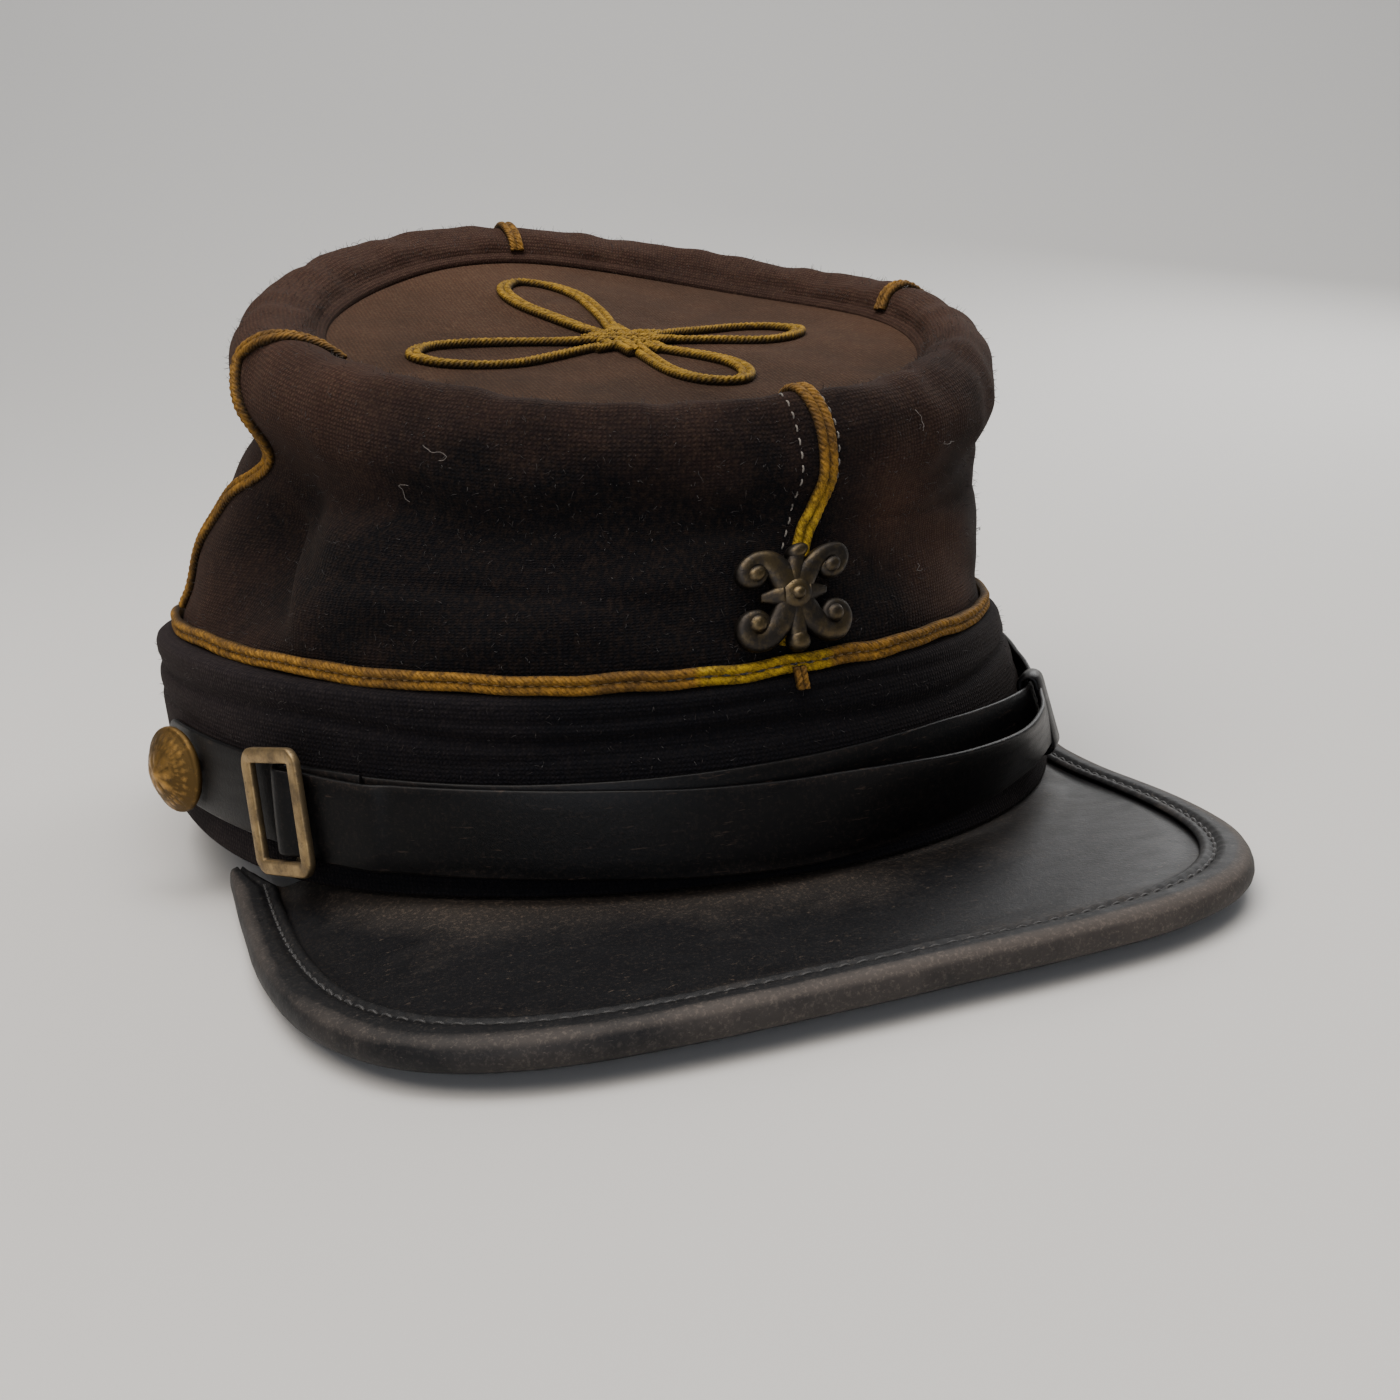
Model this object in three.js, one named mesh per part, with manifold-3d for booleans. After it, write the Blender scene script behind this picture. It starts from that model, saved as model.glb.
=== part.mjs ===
// Kepi cap: a wool crown and band, a leather peak with a rolled edge, gold soutache braid,
// a two-part leather chin strap with a brass buckle, two side buttons and a cast badge.
// Millimetres, +Z up, the peak points to -Y. Angles run round the head: 0 is the wearer's left (+X),
// 90 the back, 180 the wearer's right and 270 the front.

import * as THREE from 'three';
import Module from 'manifold-3d';
import { mergeVertices } from 'three/addons/utils/BufferGeometryUtils.js';

const wasm = await Module();
wasm.setup();

// Driving dimensions
const GAP = 0.3;
const AROUND = 56;
const BAND_WALL = 2.8;
const CROWN_WALL = 1.9;
const TOP_WALL = 1.8;

// Band: its lower ring is a head oval, its upper ring is narrower and slouches to one side
const BAND_HEIGHT = 36;
const LOWER_RING = { x: 0, y: 0, side: 93, front: 92.8, back: 98 };
const UPPER_RING = { x: -5, y: 6, side: 88.2, front: 96.2, back: 92 };
const BAND_TOP_FRONT = 33.3;
const BAND_TOP_RISE_RIGHT = 6.4;
const BAND_TOP_RISE_LEFT = -1.5;
const SEAM_FRONT = 0.5;
const SEAM_SLANT = 2.6;
const EAR_RISE = 7.4;
const EAR_WIDTH = 23;
const BACK_FLAT = { from: 26, to: 52 };
const BAND_SWELL = 0.8;
const BAND_SHOULDER = { level: 0.93, inset: 0.8 };
const BAND_KNEE = 0.3;

// Crown: rings from the foot to the crest, and down inside the rolled rim to the top's seam.
// Each has its height and slope, its middle, its reach four ways, and its share of the dents and slumps.
const CROWN_COLUMNS = ['z', 'slope', 'x', 'y', 'right', 'left', 'front', 'back', 'dent', 'slump'];
const CROWN_RINGS = {
  foot: [36, 0, -4.1, 6, 83.6, 83.8, 94, 89, 0, 0],
  low: [44, 0.02, -4, 4, 82, 82.5, 91, 88, 0.35, 0],
  belly: [56, 0.08, -3, 1, 79, 81, 86, 85, 1, 0.2],
  waist: [68, 0.16, 0, -4, 75, 77, 78.5, 77, 0.9, 0.5],
  under_rim: [76, 0.22, 1.5, -8, 71, 75.5, 73.5, 73, 0.3, 0.8],
  bulge: [86, 0.28, 3.5, -11, 76, 77, 71.5, 74, 0, 1],
  shoulder: [94, 0.3, 4.3, -11.2, 75.2, 75, 70.5, 73.5, 0, 1],
  crest: [98.5, 0.3, 4.5, -11.2, 70.2, 69.5, 67, 69, 0, 1],
  inner_shoulder: [97.2, 0.3, 4.5, -11.2, 63, 64, 62, 63, 0, 1],
  top_seam: [93.9, 0.3, 4.5, -11.2, 60.4, 61.6, 59.8, 60.6, 0, 1],
};
const CROWN_LEVELS = Object.values(CROWN_RINGS).map((ring) => (
  Object.fromEntries(CROWN_COLUMNS.map((column, i) => [column, ring[i]]))));
const SIDE_DENT = { angle: 200, width: 11, depth: 9.5 };
const SIDE_SWELL = { angle: 219, width: 11, depth: 3.4 };
const RIM_SLUMPS = [
  { name: 'left_back', angle: 42, width: 38, depth: 4.2 },
  { name: 'back', angle: 104, width: 32, depth: -2.4 },
];
const FOOT_FADE = 4.5;
const CROWN_OUTER_ROWS = [0, 0.6, 1.2, 2, 2.8, 3.5, 4.1, 4.7, 5.3, 5.9, 6.4, 6.9, 7.4, 8, 9];
const CROWN_INNER_ROWS = [9, 7.8, 6.8, 5.6, 4.3, 3.2, 1.8, 0];

// Top: its edge lies inside the rim's cloth and a little below it, and its middle sags
const TOP_SAG = 1.6;
const TOP_TUCK = { share: 0.6, below: 0.6 };
const TOP_SHARES = [0.45, 0.8, 1];

// Peak: a flat leather crescent with a folded binding round its edge
const PEAK = { halfWidth: 87.1, reach: 98.2, middle: -35.9, square: 4.28 };
const PEAK_START = 202;
const PEAK_END = 338;
const PEAK_THICK = 2.8;
const PEAK_EDGE_TOP = -2.8;
const PEAK_STEPS = 40;
const PEAK_EARS = { from: -64, length: 28, rise: 2.6 };
const PEAK_NARROW = { from: 10, to: 20 };
const PEAK_FLAT = { margin: 2, least: 0.5 };
const PEAK_DISH = 1.4;
const BINDING = { top: -1.4, bottom: -7.0, width: 7.6, skin: 1.1, seat: 0.6, belly: -4.2, lining: 0.8 };
const BINDING_ROUND = { shoulder: 0.28, upper: 0.05, upperDrop: 0.9, lower: 0.07, lowerRise: 0.6, fall: 0.25 };

// Soutache braid: flat, with two ribs. The base braid lies on the crown's foot, above the band's edge
const BASE_BRAID_LEVEL = 0.03;
const BRAID_SEAT = 1.1;
const BRAID = { width: 3.7, thick: 1.5 };
const FINE_BRAID = { width: 2.9, thick: 1.2 };
const CLIMB_SEAT = 0.65;

// Knot on the top: four leaf loops round a woven middle
const KNOT = { x: 4, y: -14.5, middle: 6.4, oval: 0.8, width: 2.8, thick: 1.3, smooth: 0.02 };
const LEAF_ROOT = { share: 0.02, spread: 2.2 };
const LEAF_SIDE = [{ share: 0.35, half: 0.6 }, { share: 0.7, half: 1 }, { share: 0.93, half: 0.7 }];
const KNOT_LOOPS = [
  { name: 'front', x: 15.5, y: -46.5, half: 7 },
  { name: 'left', x: 43.5, y: -11.5, half: 7.6 },
  { name: 'back', x: -5.5, y: 29.5, half: 8 },
  { name: 'right', x: -39.5, y: -16.5, half: 8.2 },
];

// Chin strap, its buckle and its keeper
const STRAP = { width: 15, thick: 1.0, step: 6 };
const BUTTON = { angle: 195.6, z: 18.4, facing: 209, radius: 8.2, stand: 3.1, sides: 16 };
const FAR_BUTTON_ANGLE = 357;
const SHANK = { radius: 1.6, length: 1.1 };
const BUTTON_DOME = [[0.96, 0], [1, 0.7], [0.95, 1.6], [0.8, 3.1], [0.55, 4.6], [0.27, 5.4]];
const BUCKLE = {
  angle: 216.7, z: 15.7, out: 4.25, turn: -9, lean: 6,
  width: 16.4, height: 22, bar: 2.4, thick: 1.6, chamfer: 0.3, flare: 0.35, shoulder: 0.4,
  corner: 2.6, innerCorner: 0.5,
};
const MIDDLE_BAR = { shift: 1.8, sink: -2.62, bend: 1.6, run: 2.4, bent: 0.9 };
const MIDDLE_BAR_SECTION = [
  [-0.5, -0.2], [-0.5, 0.2], [-0.2, 0.45], [0.2, 0.45], [0.5, 0.2], [0.5, -0.2], [0.2, -0.45], [-0.2, -0.45],
];
const KEEPER_ANGLE = 318;
const KEEPER = {
  z: 13.4, out: 3.9, length: 7, strap: 12.4, wall: 1.1, room: 0.6, above: 1, corner: 0.5, swell: 0.6,
};
const BADGE = { angle: 276.3, s: 0.185, levelPerMm: 0.0116, widthScale: 1.12, thick: 1.8 };
const BADGE_SEAT = CLIMB_SEAT + FINE_BRAID.thick + GAP;
const BADGE_ARM_SECTION = [[-1, 0], [-0.8, 0.6], [0, 1], [0.8, 0.6], [1, 0]];
const BADGE_BOSS = { radius: 3.4, above: 0.8 };
const BADGE_SCROLL = {
  route: [[1.2, 1.6], [3.2, 4.6], [6.4, 7.4], [9.0, 6.4], [9.2, 3.6], [7.0, 3.0]],
  halves: [1.5, 0.8], knob: [6.9, 3.2], radius: 1.5, above: 0.3, steps: 9,
};
const BADGE_DROP = { from: 2, middle: 5.5, to: 8.6, halves: [1.1, 1.0], radius: 1.5, above: 0.2, steps: 3 };

// The cap stands on the peak's edge a little in front of the ears and on the back of the band
const PEAK_CONTACT = { y: -59, z: -6.89 };
const REST_SLOPE = Math.atan2(-PEAK_CONTACT.z, LOWER_RING.back - PEAK_CONTACT.y);

const rad = (degrees) => degrees * Math.PI / 180;
const lerp = (a, b, w) => a + (b - a) * w;
const bump = (angle, middle, width) => {
  const off = ((angle - middle + 540) % 360) - 180;
  return Math.exp(-(off * off) / (width * width));
};

function restPoint(p) {
  const y = p.y * Math.cos(REST_SLOPE) + p.z * Math.sin(REST_SLOPE);
  const z = -p.y * Math.sin(REST_SLOPE) + p.z * Math.cos(REST_SLOPE);
  return new THREE.Vector3(p.x, y, z);
}

// A closed body lofted through closed loops of equally many points.
// joined: the last loop meets the first. Otherwise both ends are closed by a fan.
function loft(loops, joined = false) {
  const count = loops[0].length;
  const points = loops.flat().map(restPoint);
  const index = [];
  const spans = joined ? loops.length : loops.length - 1;
  for (let i = 0; i < spans; i++) {
    const here = i * count;
    const next = ((i + 1) % loops.length) * count;
    for (let j = 0; j < count; j++) {
      const k = (j + 1) % count;
      index.push(here + j, here + k, next + k, here + j, next + k, next + j);
    }
  }
  if (!joined) {
    closeEnd(points, index, 0, count, true);
    closeEnd(points, index, (loops.length - 1) * count, count, false);
  }
  return orient(points, index);
}

function closeEnd(points, index, start, count, flip) {
  const middle = new THREE.Vector3();
  for (let j = 0; j < count; j++) middle.add(points[start + j]);
  points.push(middle.divideScalar(count));
  const centre = points.length - 1;
  for (let j = 0; j < count; j++) {
    const a = start + j;
    const b = start + (j + 1) % count;
    if (flip) index.push(centre, b, a);
    else index.push(centre, a, b);
  }
}

// Faces point out when the signed volume is positive
function orient(points, index) {
  let volume = 0;
  const normal = new THREE.Vector3();
  for (let i = 0; i < index.length; i += 3) {
    normal.crossVectors(points[index[i + 1]], points[index[i + 2]]);
    volume += points[index[i]].dot(normal);
  }
  if (volume < 0) {
    for (let i = 0; i < index.length; i += 3) {
      [index[i + 1], index[i + 2]] = [index[i + 2], index[i + 1]];
    }
  }
  const geometry = new THREE.BufferGeometry();
  const flat = points.flatMap((p) => [p.x, p.y, p.z]);
  geometry.setAttribute('position', new THREE.Float32BufferAttribute(flat, 3));
  geometry.setIndex(index);
  return geometry;
}

function toSolid(geometry) {
  const bare = geometry.clone();
  bare.deleteAttribute('normal');
  bare.deleteAttribute('uv');
  const merged = mergeVertices(bare, 1e-4);
  return new wasm.Manifold(new wasm.Mesh({
    numProp: 3,
    vertProperties: new Float32Array(merged.attributes.position.array),
    triVerts: new Uint32Array(merged.index.array),
  }));
}

function unite(geometries) {
  return fromSolid(geometries.map(toSolid).reduce((sum, solid) => sum.add(solid)));
}

function fromSolid(solid) {
  const mesh = solid.getMesh();
  const geometry = new THREE.BufferGeometry();
  geometry.setAttribute('position', new THREE.BufferAttribute(new Float32Array(mesh.vertProperties), 3));
  geometry.setIndex(new THREE.BufferAttribute(new Uint32Array(mesh.triVerts), 1));
  return geometry;
}

// Band surface at an angle and height, moved outward by `out`
function bandPoint(angle, z, out = 0) {
  const w = Math.pow(THREE.MathUtils.clamp(z / BAND_HEIGHT, 0, 1), BAND_SWELL);
  const c = Math.cos(rad(angle));
  const s = Math.sin(rad(angle));
  const side = lerp(LOWER_RING.side, UPPER_RING.side, w) + out;
  const front = lerp(LOWER_RING.front, UPPER_RING.front, w) + out;
  const back = lerp(LOWER_RING.back, UPPER_RING.back, w) + out;
  const x = lerp(LOWER_RING.x, UPPER_RING.x, w) + side * c;
  const y = lerp(LOWER_RING.y, UPPER_RING.y, w) + (s < 0 ? front : back) * s;
  return new THREE.Vector3(x, y, z);
}

function outward(angle) {
  const step = 0.5;
  const along = bandPoint(angle + step, 10).sub(bandPoint(angle - step, 10)).normalize();
  return new THREE.Vector3(along.y, -along.x, 0);
}

// How far the band's wall leans outward from upright
function wallTilt(angle, z) {
  const reach = 5;
  const wall = bandPoint(angle, z + reach).sub(bandPoint(angle, z - reach));
  return Math.atan2(wall.dot(outward(angle)), wall.z);
}

function bandTop(angle) {
  const c = Math.cos(rad(angle));
  return BAND_TOP_FRONT + (c < 0 ? BAND_TOP_RISE_RIGHT : BAND_TOP_RISE_LEFT) * c * c;
}

// Lower edge of the band: it slants a little over the peak, rises at the ears and lies flat at the back
function bandFoot(angle, out = 0) {
  const c = Math.cos(rad(angle));
  const front = Math.max(0, -Math.sin(rad(angle)));
  const slant = (SEAM_FRONT - SEAM_SLANT * c) * front;
  const ears = EAR_RISE * (bump(angle, 180, EAR_WIDTH) + bump(angle, 0, EAR_WIDTH));
  const offBack = Math.abs(((angle - 90 + 540) % 360) - 180);
  const flat = 1 - THREE.MathUtils.smoothstep(offBack, BACK_FLAT.from, BACK_FLAT.to);
  const floor = (bandPoint(angle, 0, out).y - LOWER_RING.back) * Math.tan(REST_SLOPE);
  return lerp(slant + ears, floor, flat);
}

function around(point) {
  return Array.from({ length: AROUND }, (_, i) => point(i * 360 / AROUND));
}

function makeBand() {
  const levels = [[0, 0], [BAND_KNEE, 0], [BAND_SHOULDER.level, 0], [1, -BAND_SHOULDER.inset], [1, -BAND_WALL],
    [0, -BAND_WALL]];
  const loops = levels.map(([w, out]) => around((angle) => {
    const z = lerp(bandFoot(angle, out), bandTop(angle), w);
    const point = bandPoint(angle, Math.max(z, 0), out);
    point.z = z;
    return point;
  }));
  return loft(loops, true);
}

// Crown level between the rows of the table, by a smooth curve through them
function crownLevel(s) {
  const last = CROWN_LEVELS.length - 1;
  const at = THREE.MathUtils.clamp(s, 0, 1) * last;
  const i = Math.min(Math.floor(at), last - 1);
  const w = at - i;
  const row = (k) => CROWN_LEVELS[THREE.MathUtils.clamp(k, 0, last)];
  const level = {};
  for (const key of CROWN_COLUMNS) {
    const [a, b, c, d] = [row(i - 1)[key], row(i)[key], row(i + 1)[key], row(i + 2)[key]];
    level[key] = 0.5 * (2 * b + (c - a) * w + (2 * a - 5 * b + 4 * c - d) * w * w
      + (3 * b - a - 3 * c + d) * w * w * w);
  }
  return level;
}

function crownSurface(angle, s) {
  const level = crownLevel(s);
  const c = Math.cos(rad(angle));
  const n = Math.sin(rad(angle));
  const dent = level.dent * (SIDE_SWELL.depth * bump(angle, SIDE_SWELL.angle, SIDE_SWELL.width)
    - SIDE_DENT.depth * bump(angle, SIDE_DENT.angle, SIDE_DENT.width));
  const x = level.x + ((c < 0 ? level.right : level.left) + dent) * c;
  const y = level.y + ((n < 0 ? level.front : level.back) + dent) * n;
  const foot = (bandTop(angle) + GAP - CROWN_LEVELS[0].z) * Math.max(0, 1 - s * FOOT_FADE);
  const sink = RIM_SLUMPS.reduce((sum, spot) => sum + spot.depth * bump(angle, spot.angle, spot.width), 0);
  const slump = level.slump * sink;
  return new THREE.Vector3(x, y, level.z + level.slope * (y - level.y) + foot - slump);
}

// Outward normal of the crown in the upright plane of an angle
function crownNormal(angle, s) {
  const step = 0.01;
  const along = crownSurface(angle, Math.min(1, s + step)).sub(crownSurface(angle, Math.max(0, s - step)));
  const ring = crownSurface(angle + 1, s).sub(crownSurface(angle - 1, s));
  return ring.cross(along).normalize();
}

function crownPoint(angle, s, out = 0) {
  return crownSurface(angle, s).addScaledVector(crownNormal(angle, s), out);
}

function makeCrown() {
  const last = CROWN_LEVELS.length - 1;
  const loops = [
    ...CROWN_OUTER_ROWS.map((row) => around((angle) => crownPoint(angle, row / last))),
    ...CROWN_INNER_ROWS.map((row) => around((angle) => crownPoint(angle, row / last, -CROWN_WALL))),
  ];
  return loft(loops, true);
}

// The sunk top: a round sheet under the end of the rolled rim, sagging a little in its middle
function topPoint(angle, share, drop = 0) {
  const edge = crownPoint(angle, 1, -CROWN_WALL * TOP_TUCK.share);
  const level = CROWN_LEVELS[CROWN_LEVELS.length - 1];
  const middle = new THREE.Vector3(level.x, level.y, level.z);
  const point = middle.lerp(edge, share);
  point.z -= GAP + TOP_TUCK.below + TOP_SAG * (1 - share * share) + drop;
  return point;
}

function makeTop() {
  const loops = [
    ...TOP_SHARES.map((share) => around((angle) => topPoint(angle, share))),
    ...[...TOP_SHARES].reverse().map((share) => around((angle) => topPoint(angle, share, TOP_WALL))),
  ];
  return loft(loops);
}

// Edge of the peak in plan, evenly stepped from the wearer's right to the left
function peakEdge(inset) {
  const points = [];
  for (let i = 0; i <= 180; i++) {
    const t = Math.PI * (1 + i / 180);
    const c = Math.cos(t);
    const s = Math.sin(t);
    const x = (PEAK.halfWidth - inset) * Math.sign(c) * Math.pow(Math.abs(c), 2 / PEAK.square);
    const y = PEAK.middle - (PEAK.reach - inset) * Math.pow(Math.abs(s), 2 / PEAK.square);
    points.push(new THREE.Vector3(x, y, 0));
  }
  return new THREE.CatmullRomCurve3(points).getSpacedPoints(PEAK_STEPS);
}

// The peak's sides rise towards the ears
function peakLift(y) {
  const w = THREE.MathUtils.clamp((y - PEAK_EARS.from) / PEAK_EARS.length, 0, 1);
  return PEAK_EARS.rise * w * w;
}

// Inner end of the peak under the band, for one step along its edge
function peakRoot(i) {
  return bandPoint(lerp(PEAK_START, PEAK_END, i / PEAK_STEPS), 0, -BAND_WALL);
}

// The peak is flat under its binding and rises to the band's seam in front
function makePeak() {
  const edge = peakEdge(BINDING.skin + GAP);
  const loops = edge.map((outer, i) => {
    const angle = lerp(PEAK_START, PEAK_END, i / PEAK_STEPS);
    const inner = peakRoot(i);
    const span = inner.distanceTo(outer);
    const level = BINDING.width + PEAK_FLAT.margin;
    const flat = 1 - level / Math.max(span, level + PEAK_FLAT.least);
    const seamRise = bandFoot(angle) - GAP - PEAK_EDGE_TOP - peakLift(inner.y);
    const rise = seamRise * THREE.MathUtils.smoothstep(span, PEAK_NARROW.from, PEAK_NARROW.to);
    const at = (share, drop) => {
      const point = inner.clone().lerp(outer, share);
      const slope = Math.max(0, 1 - share / flat);
      point.z = PEAK_EDGE_TOP + peakLift(point.y) + rise * slope ** PEAK_DISH - drop;
      return point;
    };
    const shares = [0, flat * 0.25, flat * 0.6, flat, 1];
    return [
      ...shares.map((share) => at(share, 0)),
      ...[1, flat, flat * 0.4, 0].map((share) => at(share, PEAK_THICK)),
    ];
  });
  return loft(loops.slice(1, -1));
}

function makeBinding() {
  const { top, bottom, lining } = BINDING;
  const turn = BINDING_ROUND;
  const under = PEAK_EDGE_TOP - PEAK_THICK - BINDING.seat;
  const over = PEAK_EDGE_TOP + BINDING.seat;
  // Share of the width in from the edge, or null for the fold's inner skin, and height
  const outline = [
    [1, top - turn.fall], [turn.shoulder, top], [turn.upper, top - turn.upperDrop], [0, BINDING.belly],
    [turn.lower, bottom + turn.lowerRise], [turn.shoulder, bottom], [lining, bottom], [lining, under],
    [null, under], [null, over], [1, over],
  ];
  const outside = peakEdge(0);
  const skin = peakEdge(BINDING.skin);
  const inside = peakEdge(BINDING.width);
  const loops = outside.map((edge, i) => {
    const room = peakRoot(i).distanceTo(edge) - BINDING.skin;
    const reach = Math.min(1, room / BINDING.width);
    return outline.map(([share, z]) => {
      const point = share === null ? skin[i].clone() : edge.clone().lerp(inside[i], share * reach);
      point.z = z + peakLift(point.y);
      return point;
    });
  });
  return loft(loops);
}

// Two-ribbed braid section: offsets along the braid's width and out from its ground
function braidSection(width, thick) {
  return [
    [-width / 2, 0], [-width / 2, thick * 0.6], [-width / 4, thick], [width / 4, thick],
    [width / 2, thick * 0.6], [width / 2, 0],
  ];
}

function makeBaseBraid() {
  const loops = [];
  for (let i = 0; i < AROUND; i++) {
    const angle = i * 360 / AROUND;
    loops.push(braidSection(BRAID.width, BRAID.thick).map(([across, out]) => {
      const point = crownSurface(angle, BASE_BRAID_LEVEL).addScaledVector(outward(angle), BRAID_SEAT + out);
      point.z = bandTop(angle) + GAP + BRAID.width / 2 + across;
      return point;
    }));
  }
  return loft(loops, true);
}

// A braid that climbs the crown: rows give how far up the crown it is and its angle
function makeClimbingBraid(rows, steps) {
  const curve = new THREE.CatmullRomCurve3(rows.map(([s, angle]) => new THREE.Vector3(s, angle / 100, 0)));
  const path = Array.from({ length: steps + 1 }, (_, i) => curve.getPointAt(i / steps));
  const ground = path.map((p) => crownPoint(p.y * 100, p.x, CLIMB_SEAT));
  const loops = path.map((p, i) => {
    const along = ground[Math.min(steps, i + 1)].clone().sub(ground[Math.max(0, i - 1)]).normalize();
    const normal = crownNormal(p.y * 100, p.x);
    const side = along.clone().cross(normal).normalize();
    return braidSection(FINE_BRAID.width, FINE_BRAID.thick).map(([across, out]) => (
      ground[i].clone().addScaledVector(side, across).addScaledVector(normal, out)));
  });
  return loft(loops);
}

// Height of the sunk top under a point in plan
function topHeight(x, y) {
  const level = CROWN_LEVELS[CROWN_LEVELS.length - 1];
  const angle = Math.atan2(y - level.y, x - level.x) * 180 / Math.PI;
  const edge = topPoint(angle, 1);
  const share = Math.hypot(x - level.x, y - level.y) / Math.hypot(edge.x - level.x, edge.y - level.y);
  return topPoint(angle, Math.min(1, share)).z;
}

// Plan outline of a ribbon along a route on the top
function topRibbon(route, closed) {
  const curve = new THREE.CatmullRomCurve3(route, closed, 'centripetal');
  const steps = closed ? 12 : 20;
  const edge = (i, side) => {
    const p = curve.getPointAt(i / steps);
    const along = curve.getTangentAt(i / steps);
    return [p.x + along.y * side * KNOT.width / 2, p.y - along.x * side * KNOT.width / 2];
  };
  const spans = Array.from({ length: steps }, (_, i) => (
    new wasm.CrossSection([[edge(i, -1), edge(i, 1), edge(i + 1, 1), edge(i + 1, -1)]], 'Positive')));
  return wasm.CrossSection.union(spans);
}

function makeKnot() {
  const middle = new THREE.Vector3(KNOT.x, KNOT.y, 0);
  const leaves = KNOT_LOOPS.map((leaf) => {
    const tip = new THREE.Vector3(leaf.x, leaf.y, 0);
    const along = tip.clone().sub(middle);
    const side = new THREE.Vector3(along.y, -along.x, 0).normalize();
    const at = (share, across) => middle.clone().addScaledVector(along, share).addScaledVector(side, across);
    const edge = (way) => LEAF_SIDE.map(({ share, half }) => at(share, way * leaf.half * half));
    const root = (way) => at(LEAF_ROOT.share, way * LEAF_ROOT.spread);
    return topRibbon([root(-1), ...edge(1), at(1, 0), ...edge(-1).reverse(), root(1)], false);
  });
  const ring = [0, 60, 120, 180, 240, 300].map((angle) => new THREE.Vector3(
    KNOT.x + KNOT.middle * Math.cos(rad(angle)), KNOT.y + KNOT.middle * KNOT.oval * Math.sin(rad(angle)), 0));
  const plan = wasm.CrossSection.union([...leaves, topRibbon(ring, true)]).simplify(KNOT.smooth);
  const lay = (point) => {
    const level = topHeight(point[0], point[1]) + GAP + point[2];
    const placed = restPoint(new THREE.Vector3(point[0], point[1], level));
    point[0] = placed.x;
    point[1] = placed.y;
    point[2] = placed.z;
  };
  return fromSolid(plan.extrude(KNOT.thick).warp(lay));
}

// A strap on edge along the band. Each row gives the angle, the height of the strap's middle line,
// its stand-off from the band, the lean of its upper edge outward and its width.
function strapLoops(rows) {
  const loops = [];
  const rowAt = (k) => rows[THREE.MathUtils.clamp(k, 0, rows.length - 1)];
  const columns = ['angle', 'z', 'out', 'lean', 'width'];
  const spine = [];
  for (let i = 0; i < rows.length - 1; i++) {
    const ends = [rowAt(i), rowAt(i + 1)].map((row) => bandPoint(row.angle, row.z, row.out));
    const steps = Math.max(1, Math.round(ends[0].distanceTo(ends[1]) / STRAP.step));
    for (let j = 0; j < steps + (i === rows.length - 2 ? 1 : 0); j++) {
      const w = j / steps;
      const at = {};
      for (const key of columns) {
        const [a, b, c, d] = [rowAt(i - 1)[key], rowAt(i)[key], rowAt(i + 1)[key], rowAt(i + 2)[key]];
        at[key] = easeThrough(a, b, c, d, w);
      }
      spine.push({ ...at, point: bandPoint(at.angle, at.z, at.out) });
    }
  }
  const last = spine.length - 1;
  spine.forEach(({ point, angle, z, lean, width }, i) => {
    const along = spine[Math.min(last, i + 1)].point.clone().sub(spine[Math.max(0, i - 1)].point);
    along.z = 0;
    along.normalize();
    const out = outward(angle);
    const tilt = rad(lean) + wallTilt(angle, z);
    const rise = out.multiplyScalar(Math.sin(tilt)).add(new THREE.Vector3(0, 0, Math.cos(tilt)));
    rise.addScaledVector(along, -rise.dot(along)).normalize();
    const face = along.cross(rise);
    const corners = [[-1, -1], [-1, 1], [0, 1], [1, 1], [1, -1], [0, -1]];
    loops.push(corners.map(([h, d]) => point.clone()
      .addScaledVector(rise, h * width / 2).addScaledVector(face, d * STRAP.thick / 2)));
  });
  return loops;
}

// Value between b and c on a smooth curve that never swings past its rows
function easeThrough(a, b, c, d, w) {
  const limit = (before, after) => (before * after <= 0 ? 0 : 2 * before * after / (before + after));
  const m0 = limit(b - a, c - b);
  const m1 = limit(c - b, d - c);
  const w2 = w * w;
  const w3 = w2 * w;
  return (2 * w3 - 3 * w2 + 1) * b + (w3 - 2 * w2 + w) * m0 + (3 * w2 - 2 * w3) * c + (w3 - w2) * m1;
}

const strapRow = ([angle, z, out, lean = 0, width = STRAP.width]) => ({ angle, z, out, lean, width });

// Front layer: from the near button, through the buckle and across the front to its keeper
const LEFT_STRAP_ROWS = [
  [189.2, 19.2, 0.85, 0, 9.0], [190.4, 19.1, 0.85, 0, 13.4], [192.5, 19.0, 0.85], [199.0, 18.5, 0.85],
  [206.0, 17.6, 0.85], [211.0, 16.8, 0.85], [214.4, 16.4, 0.90], [217.5, 16.0, 4.95], [220.1, 15.5, 3.50],
  [222.0, 15.1, 3.45], [227.8, 14.1, 3.40], [231.0, 13.8, 2.40], [240.0, 13.1, 2.25], [252.0, 11.9, 2.25],
  [264.0, 10.4, 2.25], [274.0, 9.8, 2.60, 4], [283.0, 10.1, 4.50, 16, 14.6], [292.0, 10.5, 6.40, 28, 13.6],
  [301.0, 11.2, 7.40, 32, 12.4], [309.0, 12.3, 7.00, 22, 11.4], [KEEPER_ANGLE - 3, 13.2, 5.90, 6, 11.0],
  [KEEPER_ANGLE, KEEPER.z, 5.40, 0, 11.0],
];

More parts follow.
